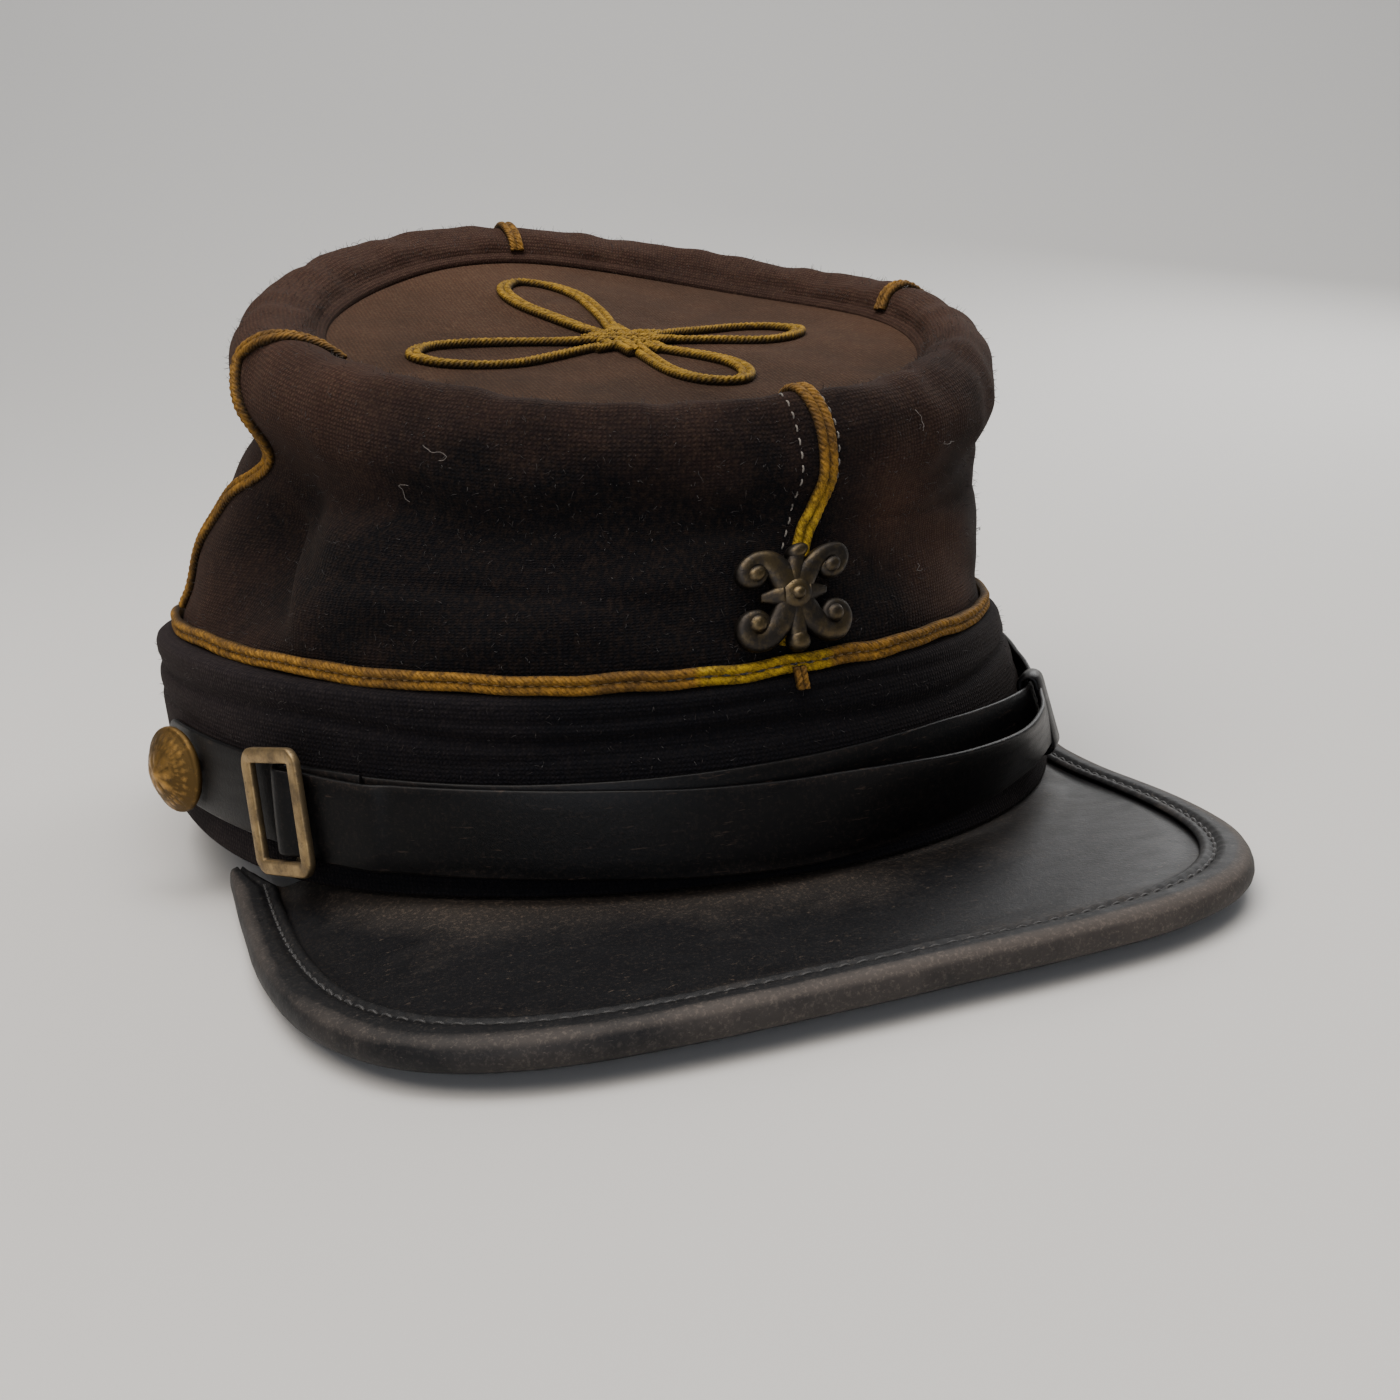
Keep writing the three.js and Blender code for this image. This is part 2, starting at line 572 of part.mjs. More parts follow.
// Inner layer: from the far button to the buckle, round its middle bar and back to a sewn end
const RIGHT_STRAP_ROWS = [
  [363.0, 18.4, 0.85, 0, 9.0], [361.8, 18.3, 0.85, 0, 12.6], [359.5, 18.1, 0.85, 0, 14.0],
  [350.0, 17.3, 0.85, 0, 14.0], [341.0, 16.3, 0.85, 0, 13.4], [333.0, 15.5, 1.05, 0, 13.0],
  [326.0, 14.7, 2.40, 0, 12.6], [KEEPER_ANGLE, KEEPER.z, KEEPER.out, 0, KEEPER.strap],
  [310.0, 13.2, 2.90, 2, 13.0], [301.0, 13.0, 1.50, 0, 14.0], [292.0, 13.0, 0.95], [280.0, 12.9, 0.85],
  [262.0, 12.8, 0.85], [246.0, 13.2, 0.85], [232.0, 14.2, 0.85], [224.0, 15.1, 0.85], [219.6, 15.7, 0.85],
  [217.9, 15.9, 0.87], [217.1, 15.9, 1.15], [216.75, 15.9, 2.05], [217.1, 15.9, 2.95], [217.9, 15.9, 3.23],
  [220.0, 15.9, 2.15], [222.0, 15.9, 2.12], [227.0, 15.3, 2.12],
];

// Upright frame of axes on the band: across runs forward along the band, up leans with the piece
function bandAxes(angle, z, out, turn, lean) {
  const up = new THREE.Vector3(0, 0, 1);
  const across = up.clone().cross(outward(angle)).applyAxisAngle(up, rad(turn));
  const face = across.clone().cross(up).applyAxisAngle(across, wallTilt(angle, z));
  up.copy(face).cross(across).applyAxisAngle(face, rad(lean));
  across.applyAxisAngle(face, rad(lean));
  const centre = bandPoint(angle, z, out);
  return (u, v, h) => centre.clone().addScaledVector(across, u).addScaledVector(up, v).addScaledVector(face, h);
}

// Rounded rectangle, centred, as corner arcs of three points
function roundedRectangle(width, height, radius) {
  const points = [];
  for (const [sx, sy, turn] of [[1, 1, 0], [-1, 1, 90], [-1, -1, 180], [1, -1, 270]]) {
    const x = sx * (width / 2 - radius);
    const y = sy * (height / 2 - radius);
    for (const step of [0, 45, 90]) {
      const a = rad(turn + step);
      points.push([x + radius * Math.cos(a), y + radius * Math.sin(a)]);
    }
  }
  return points;
}

function makeBuckle() {
  const at = bandAxes(BUCKLE.angle, BUCKLE.z, BUCKLE.out, BUCKLE.turn, BUCKLE.lean);
  const { width, height, bar: side, chamfer, flare } = BUCKLE;
  const front = BUCKLE.thick / 2;
  const edge = front * BUCKLE.shoulder;
  const section = [[-flare, -front], [-flare, edge], [chamfer, front], [side - chamfer, front], [side, edge],
    [side, -front]];
  const rings = section.map(([inset, h]) => (
    roundedRectangle(width - 2 * inset, height - 2 * inset, Math.max(BUCKLE.innerCorner, BUCKLE.corner - inset))
      .map(([u, v]) => at(u, v, h))));
  const frame = loft(rings, true);
  const { sink, bend, run, bent } = MIDDLE_BAR;
  const reach = height / 2 - side / 2;
  const path = [[-reach, 0], [-reach + bend, sink * bent], [-reach + run, sink], [reach - run, sink],
    [reach - bend, sink * bent], [reach, 0]];
  const upright = Math.tan(rad(BUCKLE.lean));
  const bar = loft(path.map(([v, h]) => MIDDLE_BAR_SECTION.map(([u, d]) => (
    at(MIDDLE_BAR.shift + u + v * upright, v, h + d)))));
  return unite([frame, bar]);
}

// Keeper: a leather loop round the inner layer, in one piece with the front layer
function makeKeeper() {
  const inner = bandAxes(KEEPER_ANGLE, KEEPER.z, KEEPER.out, 0, 0);
  const depth = STRAP.thick / 2 + KEEPER.room;
  const height = KEEPER.strap / 2 + KEEPER.above;
  const end = KEEPER.length / 2;
  const rings = [[0, -end], [KEEPER.wall, -end], [KEEPER.wall, end], [0, end]].map(([wall, u]) => (
    roundedRectangle(2 * (depth + wall), 2 * (height + wall), KEEPER.corner + wall * KEEPER.swell)
      .map(([h, v]) => inner(u, v, h))));
  return loft(rings, true);
}

function makeLeftStrap() {
  const strap = loft(strapLoops(LEFT_STRAP_ROWS.map(strapRow)));
  return unite([strap, makeKeeper()]);
}

function makeRightStrap() {
  return loft(strapLoops(RIGHT_STRAP_ROWS.map(strapRow)));
}

// Domed button on a short shank, turned about its own axis
function makeButton(angle, facing) {
  const at = bandAxes(angle, BUTTON.z, BUTTON.stand, facing - angle, 0);
  const profile = [[SHANK.radius, -SHANK.length], [SHANK.radius, 0],
    ...BUTTON_DOME.map(([share, h]) => [BUTTON.radius * share, h])];
  const loops = profile.map(([radius, h]) => Array.from({ length: BUTTON.sides }, (_, i) => {
    const a = rad(i * 360 / BUTTON.sides);
    return at(radius * Math.cos(a), radius * Math.sin(a), h);
  }));
  return loft(loops);
}

// Badge on the crown's front: u runs to the wearer's left, v up, h out from the cloth
function badgePoint(u, v, h) {
  const degreesPerMm = 180 / (Math.PI * UPPER_RING.front);
  const angle = BADGE.angle + u * BADGE.widthScale * degreesPerMm;
  return crownPoint(angle, BADGE.s + v * BADGE.levelPerMm, BADGE_SEAT + h);
}

function badgeArm(route, halves, steps) {
  const curve = new THREE.CatmullRomCurve3(route.map(([u, v]) => new THREE.Vector3(u, v, 0)));
  const loops = [];
  for (let i = 0; i <= steps; i++) {
    const p = curve.getPointAt(i / steps);
    const along = curve.getTangentAt(i / steps);
    const half = lerp(halves[0], halves[1], i / steps);
    loops.push(BADGE_ARM_SECTION.map(([side, up]) => (
      badgePoint(p.x + along.y * side * half, p.y - along.x * side * half, up * BADGE.thick))));
  }
  return loft(loops);
}

function badgeKnob(u, v, radius, height) {
  const sides = 8;
  const profile = [[1, 0], [1, 0.4], [0.6, 1]];
  return loft(profile.map(([share, up]) => Array.from({ length: sides }, (_, i) => {
    const a = rad(i * 360 / sides);
    return badgePoint(u + radius * share * Math.cos(a), v + radius * share * Math.sin(a), height * up);
  })));
}

// Four outward scrolls round a boss, with a drop above and below
function makeBadge() {
  const scroll = BADGE_SCROLL;
  const drop = BADGE_DROP;
  const pieces = [badgeKnob(0, 0, BADGE_BOSS.radius, BADGE.thick + BADGE_BOSS.above)];
  for (const side of [-1, 1]) {
    for (const end of [-1, 1]) {
      const route = scroll.route.map(([u, v]) => [u * side, v * end]);
      const [u, v] = scroll.knob;
      pieces.push(badgeArm(route, scroll.halves, scroll.steps));
      pieces.push(badgeKnob(u * side, v * end, scroll.radius, BADGE.thick + scroll.above));
    }
  }
  for (const end of [-1, 1]) {
    const route = [drop.from, drop.middle, drop.to].map((v) => [0, v * end]);
    pieces.push(badgeArm(route, drop.halves, drop.steps));
    pieces.push(badgeKnob(0, drop.to * end, drop.radius, BADGE.thick + drop.above));
  }
  return unite(pieces);
}

const WOOL = { color: 0x1d1a1d, roughness: 0.95, metalness: 0 };
const WOOL_TOP = { color: 0x33261f, roughness: 0.95, metalness: 0 };
const WOOL_BAND = { color: 0x14151c, roughness: 0.95, metalness: 0 };
const LEATHER = { color: 0x1b1a1c, roughness: 0.5, metalness: 0 };
const WORN_LEATHER = { color: 0x4c453f, roughness: 0.65, metalness: 0 };
const GOLD_BRAID = { color: 0xa97820, roughness: 0.7, metalness: 0 };
const BRASS = { color: 0x8a6c35, roughness: 0.45, metalness: 1 };
const BRONZE = { color: 0x4a4640, roughness: 0.5, metalness: 1 };

// Braids that climb from the band over the rim: how far up the crown, and the angle there
const FRONT_BRAID_ROWS = [
  [0.075, 275.9], [0.14, 276.6], [0.24, 278.0], [0.36, 278.8], [0.46, 280.0], [0.58, 279.8], [0.7, 279.6],
  [0.8, 278.8], [0.985, 278.6],
];
const BACK_BRAID_ROWS = [[0.075, 93], [0.3, 94], [0.6, 94], [0.8, 94], [0.985, 94]];
const LEFT_BRAID_ROWS = [[0.075, 3], [0.3, 3], [0.6, 3.4], [0.8, 3.8], [0.985, 3.6]];
const RIGHT_BRAID_ROWS = [
  [0.09, 177], [0.2, 176.5], [0.3, 179.5], [0.42, 186], [0.52, 187.6], [0.6, 184.4], [0.66, 183.4], [0.72, 186],
  [0.8, 189.6], [0.985, 193],
];

const PIECES = [
  ['crown', makeCrown(), WOOL],
  ['crown_top', makeTop(), WOOL_TOP],
  ['band', makeBand(), WOOL_BAND],
  ['peak', makePeak(), LEATHER],
  ['peak_binding', makeBinding(), WORN_LEATHER],
  ['base_braid', makeBaseBraid(), GOLD_BRAID],
  ['front_braid', makeClimbingBraid(FRONT_BRAID_ROWS, 26), GOLD_BRAID],
  ['back_braid', makeClimbingBraid(BACK_BRAID_ROWS, 20), GOLD_BRAID],
  ['left_braid', makeClimbingBraid(LEFT_BRAID_ROWS, 20), GOLD_BRAID],
  ['right_braid', makeClimbingBraid(RIGHT_BRAID_ROWS, 24), GOLD_BRAID],
  ['top_knot', makeKnot(), GOLD_BRAID],
  ['chin_strap_left', makeLeftStrap(), LEATHER],
  ['chin_strap_right', makeRightStrap(), LEATHER],
  ['buckle', makeBuckle(), BRASS],
  ['side_button_left', makeButton(FAR_BUTTON_ANGLE, FAR_BUTTON_ANGLE), BRASS],
  ['side_button_right', makeButton(BUTTON.angle, BUTTON.facing), BRASS],
  ['cap_badge', makeBadge(), BRONZE],
];

const cap = new THREE.Group();
for (const [name, geometry, look] of PIECES) {
  const mesh = new THREE.Mesh(geometry, new THREE.MeshStandardMaterial(look));
  mesh.name = name;
  cap.add(mesh);
}

// The origin is under the middle of the cap, on the surface that it stands on
const box = new THREE.Box3().setFromObject(cap);
const middle = box.getCenter(new THREE.Vector3());
cap.position.set(-middle.x, -middle.y, -box.min.z);
cap.updateMatrixWorld(true);

export default cap;
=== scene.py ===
# %% [markdown]
# # A worn wool kepi cap
# The cap is soft wool cloth sewn to a low band, with a leather peak, gold soutache braid, a two-part
# chin strap, brass fittings and a small cast badge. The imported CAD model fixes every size. This lesson
# dresses it: each cloth, leather and metal piece is built again in mesh code, much finer than the solid
# it stands for, on the same surfaces, and gets a material that is made of nodes alone.

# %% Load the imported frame
import math

import bpy
import numpy as np
from mathutils import Matrix, Vector


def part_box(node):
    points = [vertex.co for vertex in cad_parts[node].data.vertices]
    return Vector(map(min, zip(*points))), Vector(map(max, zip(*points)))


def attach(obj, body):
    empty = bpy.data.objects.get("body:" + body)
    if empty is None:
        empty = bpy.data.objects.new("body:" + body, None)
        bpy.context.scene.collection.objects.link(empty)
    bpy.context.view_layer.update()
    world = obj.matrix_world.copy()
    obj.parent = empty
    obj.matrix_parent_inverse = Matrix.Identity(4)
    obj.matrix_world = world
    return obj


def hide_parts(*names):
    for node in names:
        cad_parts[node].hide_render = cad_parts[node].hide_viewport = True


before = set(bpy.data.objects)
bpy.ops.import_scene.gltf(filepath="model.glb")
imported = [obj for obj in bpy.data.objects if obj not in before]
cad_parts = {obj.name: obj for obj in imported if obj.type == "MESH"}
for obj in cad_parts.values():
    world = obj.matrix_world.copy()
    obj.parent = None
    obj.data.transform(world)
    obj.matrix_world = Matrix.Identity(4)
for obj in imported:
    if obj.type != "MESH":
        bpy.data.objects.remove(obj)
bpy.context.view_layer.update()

# %% [markdown]
# ## From the cap's own millimetres to the row's metres
# The cap is easiest to describe with its opening level and its peak towards -Y, in millimetres. At rest
# it leans a little on the edge of its peak, so one function turns and shifts every point to where the
# CAD model stands. Everything below is written in the cap's own millimetres and goes through it. The
# peak's binding is alike on both sides, so the middle of its box in the frame is the cap's own x = 0.

# %% Turn and shift points to the resting cap
REST_SLOPE = math.atan2(6.89, 157)
binding_low, binding_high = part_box("peak_binding")
CAP_SHIFT = np.array([(binding_low[0] + binding_high[0]) / 2 * 1000, 17.4458, 4.3241])


def to_row(points):
    p = np.asarray(points, float)
    y = p[..., 1] * math.cos(REST_SLOPE) + p[..., 2] * math.sin(REST_SLOPE)
    z = -p[..., 1] * math.sin(REST_SLOPE) + p[..., 2] * math.cos(REST_SLOPE)
    return (np.stack([p[..., 0], y, z], -1) + CAP_SHIFT) / 1000


print("opening's middle in the row frame:", to_row([0, 0, 0]).round(4))


# %% [markdown]
# ## The band's wall as a function
# A kepi's band is a strip of cloth sewn into an oval. Its lower edge is a head oval, and its upper edge
# is narrower and slouches to the wearer's right. Two ovals and a blend between them give any point on
# it from an angle and a height. Angle 0 is the wearer's left, 90 the back, 180 the right, 270 the front.

# %% Points on the band
BAND_HEIGHT = 36
LOWER_RING = {"x": 0, "y": 0, "side": 93, "front": 92.8, "back": 98}
UPPER_RING = {"x": -5, "y": 6, "side": 88.2, "front": 96.2, "back": 92}


def blend(a, b, w):
    return a + (b - a) * w


def cos_sin(angle):
    turn = np.radians(angle)
    return np.cos(turn), np.sin(turn)


def bump(angle, middle, width):
    off = (np.asarray(angle) - middle + 540) % 360 - 180
    return np.exp(-(off * off) / (width * width))


def ease(value, low, high):
    w = np.clip((np.asarray(value, float) - low) / (high - low), 0, 1)
    return w * w * (3 - 2 * w)


def band_point(angle, z, out=0.0):
    w = np.clip(np.asarray(z, float) / BAND_HEIGHT, 0, 1) ** 0.8
    c, s = cos_sin(angle)
    ring = {key: blend(LOWER_RING[key], UPPER_RING[key], w) for key in LOWER_RING}
    depth = np.where(s < 0, ring["front"], ring["back"]) + out
    x = ring["x"] + (ring["side"] + out) * c
    y = ring["y"] + depth * s
    return np.stack(np.broadcast_arrays(x, y, np.asarray(z, float)), -1)


def unit(vectors):
    return vectors / np.linalg.norm(vectors, axis=-1, keepdims=True)


def curve_through(a, b, c, d, w):
    """A point between b and c, at the share w, on the smooth curve that passes through a, b, c and d."""
    cubic = (3 * b - a - 3 * c + d) * w ** 3
    return 0.5 * (2 * b + (c - a) * w + (2 * a - 5 * b + 4 * c - d) * w ** 2 + cubic)


def outward(angle):
    along = unit(band_point(np.asarray(angle) + 0.5, 10) - band_point(np.asarray(angle) - 0.5, 10))
    return np.stack([along[..., 1], -along[..., 0], np.zeros_like(along[..., 0])], -1)


def band_top(angle):
    c, _ = cos_sin(angle)
    return 33.3 + np.where(c < 0, 6.4, -1.5) * c * c


def band_foot(angle, out=0.0):
    c, s = cos_sin(angle)
    slant = (0.5 - 2.6 * c) * np.maximum(0, -s)
    ears = 7.4 * (bump(angle, 180, 23) + bump(angle, 0, 23))
    off_back = np.abs((np.asarray(angle) - 90 + 540) % 360 - 180)
    flat = 1 - ease(off_back, 26, 52)
    floor = (band_point(angle, 0, out)[..., 1] - LOWER_RING["back"]) * math.tan(REST_SLOPE)
    return blend(slant + ears, floor, flat)


print("band height at the front:", round(float(band_top(270) - band_foot(270)), 1), "mm")


# %% [markdown]
# ## The crown's wall as a function
# The crown rises from the band, narrows to a waist, then rolls out and over into a soft rim that sinks
# to the round top. Ten rings with their own size, centre, slope and slouch describe it, and a smooth
# curve through them gives every height between. Soft folds are a sum of a few slow waves, so that every
# braid, stitch and badge that lies on the cloth can ask for the same folded skin.

# %% Rings of the crown and the smooth curve through them
# Columns: height, slope, centre x, centre y, right, left, front, back, how much of the dent, of the slump
CROWN_RINGS = np.array([
    [36, 0, -4.1, 6, 83.6, 83.8, 94, 89, 0, 0],
    [44, 0.02, -4, 4, 82, 82.5, 91, 88, 0.35, 0],
    [56, 0.08, -3, 1, 79, 81, 86, 85, 1, 0.2],
    [68, 0.16, 0, -4, 75, 77, 78.5, 77, 0.9, 0.5],
    [76, 0.22, 1.5, -8, 71, 75.5, 73.5, 73, 0.3, 0.8],
    [86, 0.28, 3.5, -11, 76, 77, 71.5, 74, 0, 1],
    [94, 0.3, 4.3, -11.2, 75.2, 75, 70.5, 73.5, 0, 1],
    [98.5, 0.3, 4.5, -11.2, 70.2, 69.5, 67, 69, 0, 1],
    [97.2, 0.3, 4.5, -11.2, 63, 64, 62, 63, 0, 1],
    [93.9, 0.3, 4.5, -11.2, 60.4, 61.6, 59.8, 60.6, 0, 1],
])


def crown_ring(s):
    last = len(CROWN_RINGS) - 1
    at = np.clip(np.asarray(s, float), 0, 1) * last
    i = np.minimum(np.floor(at).astype(int), last - 1)
    w = (at - i)[..., None]
    return curve_through(*(CROWN_RINGS[np.clip(i + k, 0, last)] for k in (-1, 0, 1, 2)), w)


def crown_surface(angle, s):
    angle, s = np.broadcast_arrays(np.asarray(angle, float), np.asarray(s, float))
    ring = np.moveaxis(crown_ring(s), -1, 0)
    z, slope, mid_x, mid_y, right, left, front, back, dent_share, slump_share = ring
    c, n = cos_sin(angle)
    dent = dent_share * (3.4 * bump(angle, 219, 11) - 9.5 * bump(angle, 200, 11))
    x = mid_x + (np.where(c < 0, right, left) + dent) * c
    y = mid_y + (np.where(n < 0, front, back) + dent) * n
    foot = (band_top(angle) + 0.3 - BAND_HEIGHT) * np.maximum(0, 1 - s * 4.5)
    slump = slump_share * (4.2 * bump(angle, 42, 38) - 2.4 * bump(angle, 104, 32))
    return np.stack([x, y, z + slope * (y - mid_y) + foot - slump], -1)


def crown_normal(angle, s):
    along = crown_surface(angle, np.minimum(1, np.asarray(s) + 0.01)) \
        - crown_surface(angle, np.maximum(0, np.asarray(s) - 0.01))
    round_head = crown_surface(np.asarray(angle) + 1, s) - crown_surface(np.asarray(angle) - 1, s)
    return unit(np.cross(round_head, along))


# %% Soft folds of the crown's cloth
# Columns: height in mm, waves round the head, how they turn on the way up, where they start
SLOW_FOLDS = [(0.5, 3, 9, 0), (0.45, 5, -14, 1.1), (0.3, 8, 22, 2)]
RIPPLES = [(0.22, 13, -30, 0.6), (0.14, 21, 41, 3)]
RIM_PUCKERS = [(0.16, 31, 4, 0), (0.1, 47, 0, 1)]
# Columns: depth in mm, level on the crown, the level's sway, waves and start, half width, angle, reach in degrees
CREASES = [(0.9, 0.22, 0.05, 2, 0.7, 0.025, 238, 26), (0.8, 0.33, 0.04, 3, 0, 0.02, 308, 22),
           (0.9, 0.28, 0, 0, 0, 0.03, 130, 40)]
# A fold over the edge of the front panel, which slants back as it climbs
PANEL_FOLD = {"foot": 217, "slant": 38, "top": 0.42}


def fold_waves(rows, t, s):
    return sum(high * np.sin(count * t + climb * s + start) for high, count, climb, start in rows)


def fold_crease(angle, s, depth, level, sway, count, start, half, middle, reach):
    off = s - level - sway * np.sin(count * np.radians(angle) + start)
    return depth * np.exp(-(off / half) ** 2) * bump(angle, middle, reach)


def crown_fold(angle, s):
    t = np.radians(angle)
    s = np.asarray(s, float)
    wall = ease(s, 0.03, 0.14) * (1 - ease(s, 0.42, 0.6))
    rim = ease(s, 0.44, 0.56) * (1 - ease(s, 0.93, 1))
    slow, ripple = fold_waves(SLOW_FOLDS, t, s), fold_waves(RIPPLES, t, s)
    creases = sum(fold_crease(angle, s, *row) for row in CREASES)
    edge_at = PANEL_FOLD["foot"] - PANEL_FOLD["slant"] * (s / PANEL_FOLD["top"]) ** 3
    panel_edge = 1.0 * bump(angle, edge_at, 3.4) - 0.9 * bump(angle, edge_at - 7, 5.0)
    on_wall = 0.85 * slow + ripple - creases + panel_edge * (1 - ease(s, 0.3, 0.4))
    return wall * on_wall + rim * (0.55 * slow + 0.6 * ripple + fold_waves(RIM_PUCKERS, t, s))


def crown_skin(angle, s, out=0.0):
    rise = (crown_fold(angle, s) + out)[..., None]
    return crown_surface(angle, s) + crown_normal(angle, s) * rise


folds = crown_fold(np.linspace(0, 360, 200)[:, None], np.linspace(0, 1, 60)[None])
print("folds run from", round(float(folds.min()), 2), "to", round(float(folds.max()), 2), "mm")


# %% [markdown]
# ## Turning rows of points into a mesh
# Most pieces of a cap are strips or shells: rows of points that follow the piece, each row as long as
# the next. One helper joins them with quads, closes the ends where it is told to, and writes a UV map in
# millimetres along and across the piece, so that a weave or a row of stitches keeps its real size.

# %% Mesh from a grid of points
def grid_faces(rows, columns, join_rows, join_columns):
    i = np.arange(rows if join_rows else rows - 1)
    j = np.arange(columns if join_columns else columns - 1)
    i, j = (v.ravel() for v in np.meshgrid(i, j, indexing="ij"))
    corners = [(i, j), (i, j + 1), (i + 1, j + 1), (i + 1, j)]
    faces = np.stack([(a % rows) * columns + b % columns for a, b in corners], -1)
    return faces, np.stack([np.stack(c, -1) for c in corners], 1)


def step_lengths(points, axis, joined):
    ahead = np.roll(points, -1, axis) - points
    length = np.linalg.norm(ahead, axis=-1).mean(1 - axis)
    if not joined:
        length = length[:-1]
    return np.concatenate([[0], np.cumsum(length)])


def run_along(path):
    """How far along a path each of its points lies."""
    return np.concatenate([[0], np.cumsum(np.linalg.norm(np.diff(path, axis=0), axis=-1))])


def read_path(stops, run, values):
    """The columns of values, known at the distances in run, read at the distances in stops."""
    return np.stack([np.interp(stops, run, column) for column in values.T], -1)


def grid_mesh(name, points, join_rows=False, join_columns=False):
    """A mesh through points[row][column], in the cap's millimetres, with a UV map in millimetres."""
    rows, columns = points.shape[:2]
    faces, corner = grid_faces(rows, columns, join_rows, join_columns)
    down = step_lengths(points, 0, join_rows)
    across = step_lengths(points, 1, join_columns)
    flat = points.reshape(-1, 3)
    a, b, c = flat[faces[:, 0]], flat[faces[:, 1]], flat[faces[:, 2]]
    d = flat[faces[:, 3]]
    middle = flat.mean(0)
    volume = (np.cross(b - a, c - a) * (a - middle)).sum() + (np.cross(c - a, d - a) * (a - middle)).sum()
    if volume < 0:
        faces = faces[:, ::-1]
        corner = corner[:, ::-1]
    mesh = bpy.data.meshes.new(name)
    mesh.from_pydata(to_row(flat).tolist(), [], faces.tolist())
    uv = mesh.uv_layers.new(name="mm")
    spot = np.stack([across[corner[..., 1].ravel()], down[corner[..., 0].ravel()]], -1)
    uv.data.foreach_set("uv", spot.astype(np.float32).ravel())
    mesh.shade_smooth()
    mesh.update()
    return mesh


def cap_ends(mesh_points):
    """The grid with its first and last rows drawn together into their middles, to close a sweep."""
    first = np.repeat(mesh_points[:1].mean(1, keepdims=True), mesh_points.shape[1], 1)
    last = np.repeat(mesh_points[-1:].mean(1, keepdims=True), mesh_points.shape[1], 1)
    near = blend(mesh_points[:1], first, 0.25)
    far = blend(mesh_points[-1:], last, 0.25)
    return np.concatenate([first, near, mesh_points, far, last])


def swept_mesh(name, rows):
    """A closed mesh from a section's rows along a path."""
    return grid_mesh(name, cap_ends(rows), False, True)


def mark(mesh, name, values):
    """Stores a mask on the mesh's points for a material to read."""
    layer = mesh.attributes.new(name, "FLOAT", "POINT")
    layer.data.foreach_set("value", np.asarray(values, np.float32).ravel())


def mark_grid(mesh, name, values, capped=False):
    """The same from a grid of values, one for each point. capped is for a grid that cap_ends closed."""
    mark(mesh, name, np.pad(values, ((2, 2), (0, 0)), mode="edge") if capped else values)


def read_back(layer, key, count, kind=np.float32):
    values = np.empty(count, kind)
    layer.foreach_get(key, values)
    return values


def level_uv(mesh):
    """Makes the UV map the plan in millimetres, so that the threads run straight over a level piece."""
    corners = read_back(mesh.loops, "vertex_index", len(mesh.loops), np.int32)
    plan = read_back(mesh.vertices, "co", len(mesh.vertices) * 3).reshape(-1, 3)[:, :2] * 1000
    mesh.uv_layers["mm"].data.foreach_set("uv", plan[corners].astype(np.float32).ravel())


def joined_mesh(name, meshes):
    """One mesh from several, with their UV maps in millimetres and the masks that the first one has."""
    masks = [layer.name for layer in meshes[0].attributes if layer.data_type == "FLOAT"]
    points, faces, spots, shift = [], [], [], 0
    marks = {mask: [] for mask in masks}
    for mesh in meshes:
        count, corners = len(mesh.vertices), len(mesh.loops)
        points.append(read_back(mesh.vertices, "co", count * 3).reshape(-1, 3))
        faces.append(read_back(mesh.loops, "vertex_index", corners, np.int32).reshape(-1, 4) + shift)
        spots.append(read_back(mesh.uv_layers["mm"].data, "uv", corners * 2))
        for mask in masks:
            marks[mask].append(read_back(mesh.attributes[mask].data, "value", count))
        shift += count
        bpy.data.meshes.remove(mesh)
    whole = bpy.data.meshes.new(name)
    whole.from_pydata(np.concatenate(points).tolist(), [], np.concatenate(faces).tolist())
    uv = whole.uv_layers.new(name="mm")
    uv.data.foreach_set("uv", np.concatenate(spots))
    for mask in masks:
        mark(whole, mask, np.concatenate(marks[mask]))
    whole.shade_smooth()
    return whole


# %% Put a piece in the scene
def place(name, mesh, material, replaces=()):
    piece = bpy.data.objects.new(name, mesh)
    bpy.context.scene.collection.objects.link(piece)
    mesh.materials.append(material)
    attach(piece, "root")
    if replaces:
        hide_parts(*replaces)
    print(f"{name}: {len(mesh.polygons)} faces, {mesh.materials[0].name}")


# %% [markdown]
# ## Colours and nodes
# Paint chips are read as sRGB hex values, but Blender's shaders work in linear light, so one function
# turns them. A second function adds a node with its settings and its links in one line, which keeps
# each material short enough to read as a recipe.

# %% Helpers for materials
def colour(hex_value):
    value = hex_value.lstrip("#")
    channels = [int(value[k:k + 2], 16) / 255 for k in (0, 2, 4)]
    return tuple(c / 12.92 if c <= 0.04045 else ((c + 0.055) / 1.055) ** 2.4 for c in channels) + (1.0,)


def add_node(tree, kind, settings=None, links=None):
    """Adds a node. Settings are its properties or socket values, links join other outputs to sockets."""
    made = tree.nodes.new(kind)
    for key, value in (settings or {}).items():
        if isinstance(key, str) and hasattr(made, key) and key not in made.inputs:
            setattr(made, key, value)
        else:
            made.inputs[key].default_value = value
    for key, source in (links or {}).items():
        tree.links.new(source, made.inputs[key])
    return made


def start_material(name):
    material = bpy.data.materials.new(name)
    material.use_nodes = True
    material.node_tree.nodes.clear()
    return material, material.node_tree


def ramp(tree, source, stops):
    """Grey steps through (position, grey) stops, for turning a pattern into a mask."""
    made = add_node(tree, "ShaderNodeValToRGB", links={"Fac": source})
    steps = made.color_ramp.elements
    while len(steps) < len(stops):
        steps.new(0.5)
    for step, (position, grey) in zip(steps, stops):
        step.position = position
        step.color = (grey, grey, grey, 1)
    return made.outputs["Color"]


